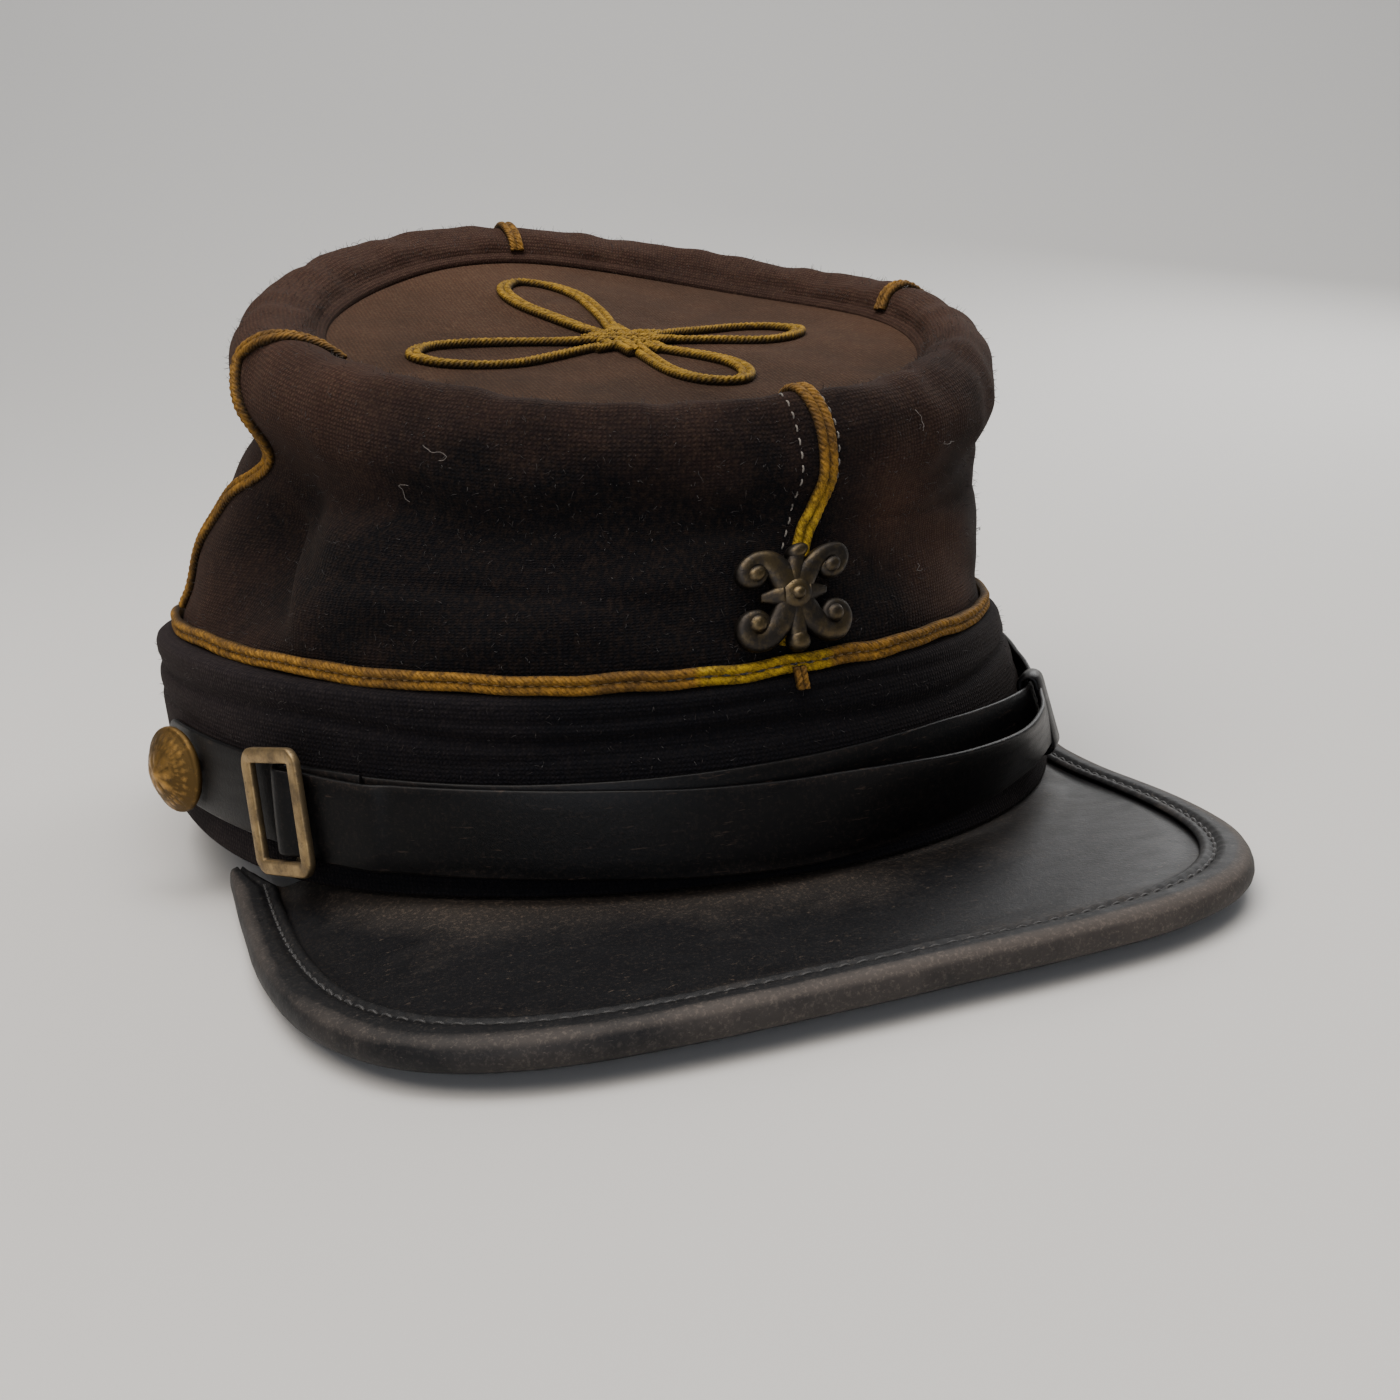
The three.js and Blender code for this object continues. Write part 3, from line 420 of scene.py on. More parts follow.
def node_of(tree, kind, settings, inputs):
    """Adds a node whose inputs may each be a fixed value or another node's output."""
    fixed = {key: value for key, value in inputs.items() if isinstance(value, (int, float, tuple))}
    links = {key: value for key, value in inputs.items() if key not in fixed}
    return add_node(tree, kind, {**settings, **fixed}, links)


def mix(tree, factor, first, second):
    """Two colours mixed by a mask."""
    return node_of(tree, "ShaderNodeMix", {"data_type": "RGBA"}, {0: factor, 6: first, 7: second}).outputs[2]


def sums(tree, how, first, second):
    return node_of(tree, "ShaderNodeMath", {"operation": how}, {0: first, 1: second}).outputs[0]


def total(tree, *terms):
    """The sum of values, each times its weight."""
    whole = sums(tree, "MULTIPLY", *terms[0])
    for value, weight in terms[1:]:
        whole = sums(tree, "ADD", whole, sums(tree, "MULTIPLY", value, weight))
    return whole


def cloud(tree, spot, size_mm, detail, rough):
    """A noise over the object's own metres, whose blotches are about size_mm across."""
    settings = {"Scale": 1000 / size_mm, "Detail": detail, "Roughness": rough}
    return add_node(tree, "ShaderNodeTexNoise", settings, {"Vector": spot}).outputs["Fac"]


def waves(tree, cloth, size_mm, way, bend):
    """Stripes size_mm apart on a UV map in mm. At scale 1 the node draws one every 2 pi / 20 of a unit."""
    settings = {"bands_direction": way, "Scale": math.tau / 20 / size_mm, "Distortion": bend,
                "Detail": 2.0, "Detail Scale": 2.0}
    return add_node(tree, "ShaderNodeTexWave", settings, {"Vector": cloth}).outputs["Fac"]


def attribute(tree, name):
    return add_node(tree, "ShaderNodeAttribute", {"attribute_name": name}).outputs["Fac"]


def stretch(tree, coordinates, scale):
    return add_node(tree, "ShaderNodeMapping", {"Scale": scale}, {"Vector": coordinates}).outputs["Vector"]


def between(tree, value, low, high, start=0.0, end=1.0):
    """The value's run from start to end, turned to a run from low to high."""
    settings = {"From Min": start, "From Max": end, "To Min": low, "To Max": high}
    return add_node(tree, "ShaderNodeMapRange", settings, {"Value": value}).outputs[0]


def finish_material(tree, shader_settings, shader_links, heights=()):
    """The surface shader, with bumps stacked from (height, strength, distance in metres) rows."""
    normal = None
    for height, strength, distance in heights:
        links = {"Height": height}
        if normal is not None:
            links["Normal"] = normal
        settings = {"Strength": strength, "Distance": distance}
        normal = add_node(tree, "ShaderNodeBump", settings, links).outputs["Normal"]
    links = dict(shader_links)
    if normal is not None:
        links["Normal"] = normal
    shader = add_node(tree, "ShaderNodeBsdfPrincipled", shader_settings, links)
    add_node(tree, "ShaderNodeOutputMaterial", links={"Surface": shader.outputs["BSDF"]})


print("old gold in linear light:", [round(v, 3) for v in colour("#a97820")])

# %% [markdown]
# ## Napped wool broadcloth
# The cloth is a plain wool weave, fulled and brushed, so its threads only show as a fine broken grain
# under a felted nap. Real threads are about 0.5 mm apart, just finer than this picture can show, so they
# are drawn 0.8 mm apart. Age has turned the navy dye to brown where light and hands reached it: round the
# rim, on the top, down both sides and in a stain at the front. Sheen gives the pale bloom that a nap has
# at grazing angles.

# %% Wool material
THREAD_MM = 0.8
# One over the half width of the cap in metres, so that the fade on the sides is full at its widest
SIDE_SCALE = 12.2


def wool(name, deep, faded, dust, fade_from, fade_to, fade_bias, sheen):
    """Wool that fades between two heights in metres. fade_bias adds to the fade everywhere."""
    material, tree = start_material(name)
    where = add_node(tree, "ShaderNodeTexCoord").outputs
    spot, cloth = where["Object"], where["UV"]
    place_of = add_node(tree, "ShaderNodeSeparateXYZ", links={"Vector": spot}).outputs
    climb = between(tree, place_of["Z"], 0, 1, fade_from, fade_to)
    patches = cloud(tree, spot, 38, 4, 0.6)
    blotches = cloud(tree, spot, 9, 4, 0.65)
    sides = sums(tree, "MULTIPLY", sums(tree, "ABSOLUTE", place_of["X"], 0), SIDE_SCALE)
    fade = total(tree, (climb, 0.8), (patches, 0.8), (sums(tree, "POWER", sides, 5), 0.45), (blotches, 0.3),
                 (attribute(tree, "stain"), 0.5))
    fade = ramp(tree, sums(tree, "ADD", fade, fade_bias), [(0.25, 0), (0.85, 1)])
    base = mix(tree, fade, colour(deep), colour(faded))
    threads = [waves(tree, cloth, THREAD_MM, way, 3.2) for way in ("X", "Y")]
    fibre = cloud(tree, spot, 0.9, 3, 0.75)
    weave = sums(tree, "MULTIPLY", *threads)
    weave = sums(tree, "MULTIPLY", weave, ramp(tree, cloud(tree, spot, 5, 3, 0.7), [(0.35, 0.45), (0.6, 1)]))
    weave = sums(tree, "ADD", weave, between(tree, fibre, 0.0, 0.35, 0.6, 0.4))
    fuzz = ramp(tree, fibre, [(0.45, 0), (0.8, 1)])
    pills = ramp(tree, cloud(tree, spot, 3.2, 5, 0.7), [(0.6, 0), (0.85, 1)])
    shade = mix(tree, between(tree, weave, 0.72, 0), base, colour("#020203"))
    fuzz = sums(tree, "MULTIPLY", fuzz, between(tree, fade, 0.1, 0.4))
    light = mix(tree, fuzz, shade, colour(dust))
    coat = mix(tree, sums(tree, "MULTIPLY", pills, 0.12), light, colour(dust))
    heights = [(blotches, 0.25, 0.0012), (fibre, 0.6, 0.0004), (weave, 0.6, 0.0004)]
    settings = {"Roughness": 0.95, "IOR": 1.5, "Specular IOR Level": 0.12, "Sheen Weight": sheen,
                "Sheen Roughness": 0.5, "Sheen Tint": colour("#8d7460")}
    finish_material(tree, settings, {"Base Color": coat}, heights)
    return material


crown_wool = wool("napped wool, navy faded to brown", "#09090d", "#422d25", "#6b5342",
                  0.064, 0.118, -0.42, 0.06)
top_wool = wool("napped wool, faded brown", "#2a1e18", "#533a2b", "#80664f", 0.07, 0.13, -0.32, 0.09)
band_wool = wool("napped wool, dark", "#0d0d12", "#231d20", "#4b4240", 0.02, 0.11, -0.5, 0.06)
print("wool threads drawn", THREAD_MM, "mm apart")

# %% [markdown]
# ## The crown shell
# The wall of the crown is one piece of cloth that turns over the padded rim and down to the seam of the
# top. It could be sculpted, or simulated as cloth over a form. The slouch here is fixed by age, so the
# function above is sampled densely instead, once for the outside and once for the inside of the cloth.

# %% Build the crown
ROUND = np.arange(0, 360, 0.9)
CROWN_THICK = 1.9
TOP_MIDDLE = np.array([4.5, -11.2, 93.9])


def round_rows(skin, levels, out=0.0):
    """A row of points right round the head on each level of a skin."""
    return np.stack([skin(ROUND, np.full_like(ROUND, level), out) for level in levels])


def crown_hem(s, inward, down):
    """The cloth's end, turned in towards the middle and down, at the foot or at the top's seam."""
    row = round_rows(crown_skin, [s])
    row[..., :2] += unit(TOP_MIDDLE[:2] - row[..., :2]) * inward
    row[..., 2] -= down
    return row


foot_hem = [crown_hem(0, 1.6, 4.5), crown_hem(0, 0.4, 1.5)]
crown_outside = round_rows(crown_skin, np.concatenate([np.linspace(0, 0.4, 44), np.linspace(0.41, 1, 62)]))
seam_hem = [crown_hem(1, 0.9, 0.5), crown_hem(1, 1.5, 1.3), crown_hem(1, 1.6, 2.3)]
crown_inside = round_rows(crown_skin, np.linspace(1, 0, 40), -CROWN_THICK)
crown_grid = np.concatenate([*foot_hem, crown_outside, *seam_hem, crown_inside])
crown_mesh = grid_mesh("crown_cloth", crown_grid, True, True)

# A brown stain on the wearer's left of the front. Columns: angle, level on the crown, reach in mm
STAINS = [(303, 0.26, 16), (312, 0.13, 12), (292, 0.42, 9)]
stain = np.zeros(crown_grid.shape[:2])
for angle, s, reach in STAINS:
    stain += np.exp(-((crown_grid - crown_surface(angle, s)) ** 2).sum(-1) / reach ** 2)
mark_grid(crown_mesh, "stain", stain)
place("crown_cloth", crown_mesh, crown_wool, ["crown"])

# %% [markdown]
# ## The sunk top
# The round top is a separate disc of the same cloth, stiffened, and sewn under the rim. It has sagged
# in the middle and wrinkled a little, but lies smooth at its seam. A polar grid follows the rim's own outline.

# %% Build the top
TOP_THICK = 1.8
# The top is sewn this far inside the rim's skin
SEAM_INSET = 1.14


def top_edge(angle):
    full = np.ones_like(np.asarray(angle, float))
    return crown_surface(angle, full) - crown_normal(angle, full) * SEAM_INSET


def top_skin(angle, share, drop=0.0):
    share = np.asarray(share, float)
    point = blend(TOP_MIDDLE, top_edge(angle), share[..., None])
    x, y = point[..., 0], point[..., 1]
    sag = 0.9 + 1.6 * (1 - share ** 2)
    wrinkle = 0.35 * np.sin(x / 11 + y / 23 + 1) + 0.3 * np.sin(y / 9 - x / 31)
    wrinkle = (wrinkle + 0.14 * np.sin(x / 4.2 + y / 6.5)) * (1 - ease(share, 0.86, 1)) * 0.8
    point[..., 2] -= sag + drop - wrinkle
    return point


top_shares = np.concatenate([np.linspace(0.004, 0.9, 60), np.linspace(0.915, 1, 8)])
top_grid = np.concatenate([round_rows(top_skin, top_shares), round_rows(top_skin, top_shares[::-4], TOP_THICK)])
top_mesh = grid_mesh("top_cloth", top_grid, True, True)
level_uv(top_mesh)
place("top_cloth", top_mesh, top_wool, ["crown_top"])

# %% [markdown]
# ## The band
# The band is the same wool over a stiffer lining. Years under a strap have pressed long level creases
# into it. They only go inward here, so the strap, which lies close, never sinks into the cloth.

# %% Build the band
BAND_THICK = 2.8


def band_crease(angle, w):
    t = np.radians(angle)
    line_a = np.exp(-((w - 0.80 - 0.04 * np.sin(2 * t + 1) - 0.02 * np.sin(7 * t)) / 0.035) ** 2)
    line_b = np.exp(-((w - 0.68 - 0.05 * np.sin(3 * t)) / 0.03) ** 2) * (0.5 + 0.5 * np.sin(4 * t + 2))
    line_c = np.exp(-((w - 0.90 - 0.02 * np.sin(5 * t + 2)) / 0.02) ** 2) * (0.5 + 0.5 * np.sin(3 * t))
    slow = 0.3 + 0.3 * np.sin(9 * t + 6 * w) * np.sin(4 * t - 5 * w + 1)
    return -(0.9 * line_a + 0.6 * line_b + 0.5 * line_c) - 0.7 * slow * ease(w, 0.02, 0.2)


def band_skin(angle, w, out=0.0):
    z = blend(band_foot(angle, out), band_top(angle), w)
    point = band_point(angle, np.maximum(z, 0), out + band_crease(angle, w))
    point[..., 2] = z
    return point


def band_shoulder(share, rise):
    """The cloth between the band's upper edge and the crown's foot, under the braid."""
    row = blend(round_rows(band_skin, [1], -0.9), round_rows(crown_skin, [0], -0.3), share)
    row[..., 2] = band_top(ROUND) + rise
    return row


def band_inside(angle, w, out):
    return band_skin(angle, w, out - band_crease(angle, w))


# Columns: share of the way from the band to the crown, height over the band's upper edge in mm
SHOULDER = [(0, 0.1), (0.35, 0.45), (0.7, 0.5), (1, 0.3), (1, -3)]
band_grid = np.concatenate([
    round_rows(band_skin, np.linspace(0, 0.965, 70)),
    round_rows(band_skin, [0.99], -0.3),
    *(band_shoulder(share, rise) for share, rise in SHOULDER),
    round_rows(band_inside, np.linspace(0.9, 0, 12), -BAND_THICK),
])
place("band_cloth", grid_mesh("band_cloth", band_grid, True, True), band_wool, ["band"])

# %% [markdown]
# ## Gold soutache braid
# Soutache is a flat braid plaited over two cords. It has two round ribs with a groove between them, where
# it is sewn down, and its threads cross each rib on the slant. A texture alone would leave the outline
# smooth, so the slanted threads are raised in the mesh itself. The groove, the dips between the threads and
# the braid's underside are darkened with painted shade, which is kept as an attribute for the material. The
# threads are drawn 1.3 mm apart, about twice their real width. A second mask says how fresh the thread is,
# because the braid was sewn on again at the front with yellower braid.

# %% Braid on a path
PLAIT_MM = 1.3


def smooth_path(points):
    """Many points on a smooth curve through a few guide points."""
    guide = np.asarray(points, float)
    padded = np.concatenate([2 * guide[:1] - guide[1:2], guide, 2 * guide[-1:] - guide[-2:-1]])
    w = np.linspace(0, 1, 60, endpoint=False)[:, None]
    parts = [curve_through(*four, w) for four in zip(padded, padded[1:], padded[2:], padded[3:])]
    return np.concatenate(parts + [guide[-1:]])


def evenly(points, spacing, measure=None):
    """The same path with its points an even distance apart, measured on another set of points if given."""
    run = run_along(points if measure is None else measure)
    return read_path(np.linspace(0, run[-1], max(4, int(run[-1] / spacing))), run, points)


BRAID_ACROSS = np.linspace(-1, 1, 15)


def braid_rows(centre, side, normal, width, thick, closed):
    """Rows of section points for a two-ribbed braid that lies along centre, and its mask of painted shade."""
    run = run_along(centre)[:, None]
    u = BRAID_ACROSS[None]
    rib = np.sqrt(np.clip(1 - ((np.abs(u) - 0.5) / 0.52) ** 2, 0, 1))
    slant = np.sin(2 * np.pi * (run / PLAIT_MM + np.abs(u) * 0.9 * np.sign(u) + 0.25 * np.sign(u)))
    sway = 0.05 * np.sin(run / 5.1) + 0.04 * np.sin(run / 2.3 + 1)
    height = thick * (0.22 + 0.78 * rib) + 0.11 * slant * rib + 0.05 * np.sin(run / 3.7)
    across = (u + sway) * width / 2 * (1 + 0.04 * np.sin(run / 7 + 2))
    under = np.broadcast_to(np.array([[0.86, -0.86]]) * width / 2, (len(centre), 2))
    across = np.concatenate([across, under], 1)[..., None]
    height = np.concatenate([height, np.full((len(centre), 2), -0.35)], 1)[..., None]
    rows = centre[:, None] + side[:, None] * across + normal[:, None] * height
    # Painted shade: dark in the groove between the ribs and in the dips between the slanted threads, full on the
    # two points under the braid.
    groove_shade = np.concatenate([np.broadcast_to(1 - rib, (len(centre), 15)) * 0.75 + 0.25 * (0.5 - 0.5 * slant),
                             np.ones((len(centre), 2))], 1)
    return rows if closed else cap_ends(rows), groove_shade


def braid_mesh(name, centre, side, normal, width, thick, closed=False, fresh=0.0):
    """A braid with two masks: the painted shade of its groove and underside, and how fresh and yellow its thread
    still is.
    """
    rows, groove_shade = braid_rows(centre, side, normal, width, thick, closed)
    mesh = grid_mesh(name, rows, closed, True)
    mark_grid(mesh, "groove_shade", groove_shade, not closed)
    mark_grid(mesh, "fresh", np.broadcast_to(np.reshape(fresh, (-1, 1)), groove_shade.shape), not closed)
    return mesh


# %% Material of the braid
braid_gold, tree = start_material("silk soutache braid, old gold")
where = add_node(tree, "ShaderNodeTexCoord").outputs
spot = where["Object"]
strands = waves(tree, where["UV"], 0.45, "DIAGONAL", 1.5)
soil = ramp(tree, cloud(tree, spot, 14, 4, 0.6), [(0.36, 0), (0.66, 1)])
fray = cloud(tree, spot, 1.3, 4, 0.8)
silk = mix(tree, soil, colour("#9c7024"), colour("#62461e"))
silk = mix(tree, attribute(tree, "fresh"), silk, colour("#ab8a18"))
silk = mix(tree, ramp(tree, fray, [(0.38, 0), (0.66, 0.85)]), silk, colour("#33220c"))
# The groove, the thread dips and the underside are painted near black, as painted shade.
silk = mix(tree, ramp(tree, attribute(tree, "groove_shade"), [(0.25, 0), (0.9, 0.95)]), silk, colour("#150d06"))
silk_surface = {"Roughness": 0.75, "IOR": 1.5, "Sheen Weight": 0.12, "Sheen Roughness": 0.4,
                "Sheen Tint": colour("#b98f45"), "Specular IOR Level": 0.22}
finish_material(tree, silk_surface, {"Base Color": silk}, [(fray, 0.6, 0.0004), (strands, 0.6, 0.0003)])

# %% Build the base braid
# The angles between which the braid was sewn on again
REPAIR_FROM, REPAIR_TO = 263.5, 281.5
STEP_MM = 0.24
BASE_RISE = 2.15
UP = np.array([0.0, 0, 1])
turn = np.arange(0, 360, 0.155)


def base_line(angle, out):
    """The middle of the base braid, with the small waver that hand sewing gives it."""
    point = crown_surface(angle, np.full_like(angle, 0.03)) + outward(angle) * out
    waver = 0.12 * np.sin(np.radians(angle) * 17) + 0.1 * np.sin(np.radians(angle) * 41)
    point[:, 2] = band_top(angle) + BASE_RISE + waver
    return point


base_centre = base_line(turn, 0.75)
upright = np.broadcast_to(UP, base_centre.shape)
repaired = ease(turn, REPAIR_FROM, REPAIR_FROM + 1.5) * (1 - ease(turn, REPAIR_TO - 1.5, REPAIR_TO))
base_mesh = braid_mesh("base_ring", base_centre, upright, outward(turn), 3.35, 1.35, True, repaired)

# The front braid's tail comes out under the base braid
tail_drop = np.arange(0, 3.9, STEP_MM)
tail_turn = np.full_like(tail_drop, 276.4)
tail_centre = band_point(tail_turn, band_top(tail_turn) + 2 - tail_drop, 0.25)
tail_side = unit(np.cross(UP, outward(tail_turn)))
tail_mesh = braid_mesh("tail", tail_centre, tail_side, outward(tail_turn), 2.3, 1.0)
base_whole = joined_mesh("base_soutache", [base_mesh, tail_mesh])
place("base_soutache", base_whole, braid_gold, ["base_braid"])


# %% Build the climbing braids
def crown_braid(name, guide, node, fresh=(-1, 0)):
    """A braid up the crown. Its thread turns from fresh to worn between two levels of the crown."""
    path = smooth_path([(s * 100, angle) for s, angle in guide])
    skin = crown_skin(path[:, 1], path[:, 0] / 100)
    path = evenly(path, STEP_MM, skin)
    angle, s = path[:, 1], path[:, 0] / 100
    centre = crown_skin(angle, s, 0.2)
    normal = crown_normal(angle, s)
    side = unit(np.cross(np.gradient(centre, axis=0), normal))
    mesh = braid_mesh(name, centre, side, normal, 3.5, 1.2, False, 1 - ease(s, *fresh))
    place(name, mesh, braid_gold, [node])


# Columns: level on the crown, angle
FRONT_GUIDE = [(0.075, 275.9), (0.14, 276.6), (0.24, 277.6), (0.36, 278.2), (0.46, 279.2), (0.58, 279.2),
               (0.7, 278.9), (0.8, 278.2), (0.985, 277.8)]
BACK_GUIDE = [(0.075, 93), (0.3, 94), (0.6, 94), (0.8, 94), (0.985, 94)]
LEFT_GUIDE = [(0.075, 3), (0.3, 3), (0.6, 3.4), (0.8, 3.8), (0.985, 3.6)]
RIGHT_GUIDE = [(0.09, 177), (0.2, 176.5), (0.3, 179.5), (0.42, 186), (0.52, 187.6), (0.6, 184.4),
               (0.66, 183.4), (0.72, 186), (0.8, 189.6), (0.985, 193)]
crown_braid("front_soutache", FRONT_GUIDE, "front_braid", (0.35, 0.62))
for way, guide in (("back", BACK_GUIDE), ("left", LEFT_GUIDE), ("right", RIGHT_GUIDE)):
    crown_braid(f"{way}_soutache", guide, f"{way}_braid")

# %% [markdown]
# ## The knot on the top
# The four leaves are one braid laid out in loops, and where they meet it is plaited over and under
# itself. Each leaf is its own ribbon here: it crosses itself at its root with one leg a little higher,
# and a small ring runs through the middle. In the picture that cannot be told from one long braid.

# %% Build the knot
KNOT_FRESH = 0.45
KNOT_MIDDLE = np.array([4, -14.5])
# Columns: x and y of the leaf's tip, half of its width
KNOT_LEAVES = [(15.5, -46.5, 7), (43.5, -11.5, 7.6), (-5.5, 29.5, 8), (-39.5, -16.5, 8.2)]


def heading(plan):
    return np.degrees(np.arctan2(plan[:, 1], plan[:, 0]))


def on_top(plan, lift):
    """Points of the top's cloth from their plan. A few rounds find the rim angle that each one lies on."""
    middle = TOP_MIDDLE[:2]
    offset = plan - middle
    angle = heading(offset)
    for _ in range(6):
        angle = angle + heading(offset) - heading(top_edge(angle)[:, :2] - middle)
    share = np.linalg.norm(offset, axis=-1) / np.linalg.norm(top_edge(angle)[:, :2] - middle, axis=-1)
    return top_skin(angle, share, -lift)


def top_ribbon(plan, lift, closed=False, width=3.3, thick=1.25):
    centre = on_top(plan, lift)
    ahead = np.roll(centre, -1, 0) - np.roll(centre, 1, 0) if closed else np.gradient(centre, axis=0)
    side = unit(np.cross(ahead, UP))
    normal = unit(np.cross(side, ahead))
    return braid_mesh("ribbon", centre, side, normal, width, thick, closed, KNOT_FRESH)


def knot_leaf(x, y, half):
    along = np.array([x, y]) - KNOT_MIDDLE
    side = unit(np.array([along[1], -along[0]]))
    shape = [(-0.2, 0.42), (-0.06, 0.3), (0.1, -0.08), (0.35, -0.55), (0.68, -0.95), (0.9, -0.72), (1, 0),
             (0.9, 0.72), (0.68, 0.95), (0.35, 0.55), (0.1, 0.08), (-0.06, -0.3), (-0.2, -0.42)]
    guide = [KNOT_MIDDLE + along * share + side * half * across for share, across in shape]
    plan = evenly(smooth_path(guide), STEP_MM)
    run = np.linspace(0, 1, len(plan))
    lift = 0.15 + 0.55 * ease(run, 0.78, 0.9) + 0.25 * np.sin(run * 40) * (run < 0.14)
    return top_ribbon(plan, lift)


ribbons = [knot_leaf(*leaf) for leaf in KNOT_LEAVES]
ring_turn = np.radians(np.arange(0, 360, 2.6))
ring = KNOT_MIDDLE + np.stack([5.2 * np.cos(ring_turn), 4.6 * np.sin(ring_turn)], -1)
ribbons.append(top_ribbon(ring, 0.6 + 0.35 * np.sin(4 * ring_turn), True, 2.3, 1.1))
place("knot_soutache", joined_mesh("knot_soutache", ribbons), braid_gold, ["top_knot"])

# %% [markdown]
# ## The leather peak
# The peak is a crescent of stiff leather, sewn under the band and dished a little. Its black finish has
# rubbed off in patches, and dust has settled in the grain. Its plan is a squarish oval, so the same
# curve gives its edge, its binding and the line of stitches along it.

# %% Build the peak
PEAK = {"half_width": 87.1, "reach": 98.2, "middle": -35.9, "square": 4.28}
PEAK_FROM, PEAK_TO = 202, 338
EDGE_TOP = -2.8
PEAK_THICK = 2.8
BINDING_WIDTH = 7.6
edge_share = np.linspace(0, 1, 340)
root_angle = blend(PEAK_FROM, PEAK_TO, edge_share)


def peak_edge(inset):
    t = np.pi * (1 + np.linspace(0, 1, 1441))
    c, s = np.cos(t), np.sin(t)
    x = (PEAK["half_width"] - inset) * np.sign(c) * np.abs(c) ** (2 / PEAK["square"])
    y = PEAK["middle"] - (PEAK["reach"] - inset) * np.abs(s) ** (2 / PEAK["square"])
    plan = np.stack([x, y, np.zeros_like(x)], -1)
    run = run_along(plan)
    return read_path(edge_share * run[-1], run, plan)


def peak_lift(y):
    """How much higher the peak lies towards its two ends."""
    return 2.6 * np.clip((y + 64) / 28, 0, 1) ** 2


peak_root = band_point(root_angle, 0, -BAND_THICK)


def peak_surface(shares):
    inner, outer = peak_root, peak_edge(1.4)
    span = np.linalg.norm(inner - outer, axis=-1)[:, None]
    flat = 1 - (BINDING_WIDTH + 2) / np.maximum(span, BINDING_WIDTH + 2.5)
    seam = band_foot(root_angle)[:, None] - 0.3 - EDGE_TOP - peak_lift(inner[:, 1:2])
    rise = seam * ease(span, 10, 20)
    share = np.broadcast_to(np.asarray(shares)[None], (len(edge_share), len(shares)))
    point = blend(inner[:, None], outer[:, None], share[..., None])
    slope = np.maximum(0, 1 - share / flat)
    z = EDGE_TOP + peak_lift(point[..., 1]) + rise * slope ** 1.4
    x, y = point[..., 0], point[..., 1]
    dish = 0.3 * np.sin(x / 17 + 1) * np.sin(y / 13) + 0.18 * np.sin(x / 7.1 - y / 9.3)
    point[..., 2] = z + dish * ease(share, 0.1, 0.3) * (1 - ease(share, flat - 0.1, flat))
    return point


TOP_SHARES, UNDER_SHARES = np.linspace(0, 1, 44), np.linspace(1, 0, 16)
peak_top = peak_surface(TOP_SHARES)
peak_under = peak_surface(UNDER_SHARES)
peak_under[..., 2] -= PEAK_THICK
peak_grid = np.concatenate([peak_top, peak_under], 1)[3:-3]
peak_mesh = swept_mesh("peak_hide", peak_grid)

# Dust lies by the band, most on the wearer's right, and the finish has worn along the binding
near_band = np.exp(-(TOP_SHARES / 0.3) ** 2)[None] * (0.75 - 0.5 * edge_share[3:-3, None])
near_edge = np.exp(-((TOP_SHARES - 0.86) / 0.07) ** 2)[None] * (0.5 - 0.3 * edge_share[3:-3, None])
peak_rub = np.concatenate([near_band + near_edge, np.full((len(peak_grid), len(UNDER_SHARES)), 0.2)], 1)
mark_grid(peak_mesh, "rub", peak_rub, True)
print("peak reaches", round(float(-peak_grid[..., 1].min()), 1), "mm forward of the ears' line")


# %% Material of worn black leather
def black_leather(name, finish, rubbed, dust, wear, rough, shine, streak_across):
    """Leather with a black finish, worn through where its mask says so, and on the strap's edges also painted
    lighter as highlight. wear adds to that everywhere.
    """
    material, tree = start_material(name)
    spot = add_node(tree, "ShaderNodeTexCoord").outputs["Object"]
    drawn = stretch(tree, spot, streak_across)
    patches = cloud(tree, spot, 22, 5, 0.65)
    streaks = cloud(tree, drawn, 4, 6, 0.7)
    scratches = ramp(tree, cloud(tree, drawn, 1.2, 3, 0.8), [(0.64, 0), (0.7, 1)])
    grit = cloud(tree, spot, 0.7, 3, 0.8)
    worn = total(tree, (patches, 1.0), (streaks, 0.2), (attribute(tree, "rub"), 1.0))
    worn = ramp(tree, sums(tree, "ADD", worn, wear - 0.6), [(0.1, 0), (0.7, 1)])
    hide = mix(tree, worn, colour(finish), colour(rubbed))
    speck = sums(tree, "MULTIPLY", ramp(tree, grit, [(0.52, 0), (0.66, 1)]), between(tree, worn, 0.1, 0.6))
    hide = mix(tree, speck, hide, colour(dust))
    hide = mix(tree, sums(tree, "MULTIPLY", scratches, 0.4), hide, colour(dust))
    gloss = total(tree, (between(tree, streaks, *rough, 0.3, 0.7), 1.0), (worn, 0.2))
    heights = [(patches, 0.15, 0.0008), (grit, 0.3, 0.0002), (streaks, 0.08, 0.0003)]
    surface = {"IOR": 1.5, "Specular IOR Level": shine}
    finish_material(tree, surface, {"Base Color": hide, "Roughness": gloss}, heights)
    return material


peak_leather = black_leather("black finished leather, dusty and rubbed", "#08080b", "#2b2622", "#5e5145",
                             0.0, (0.46, 0.55), 0.25, (0.7, 1.3, 1))
binding_leather = black_leather("black leather, rubbed to taupe on its edge", "#0c0c0e", "#46403c", "#645b53",
                                -0.1, (0.5, 0.64), 0.25, (0.6, 1, 2))
strap_leather = black_leather("black strap leather, half gloss", "#040405", "#231f1d", "#4b3d34",
                              -0.34, (0.34, 0.48), 0.16, (0.2, 0.2, 2.0))
place("peak_hide", peak_mesh, peak_leather, ["peak"])

# %% [markdown]
# ## The rolled binding
# A strip of thinner leather is folded round the peak's edge and stitched through from the top, which
# raises two low ridges with the thread in the furrow between them. The outside of the fold is rubbed to
# the bare brown hide. Its section is swept along the edge, and the ridges pucker at each stitch.

# %% Build the binding
STITCH_MM = 3.0
SEAM_IN = 5.5
# The binding's leather is this thick where it turns round the peak's edge
BINDING_SKIN = 1.15
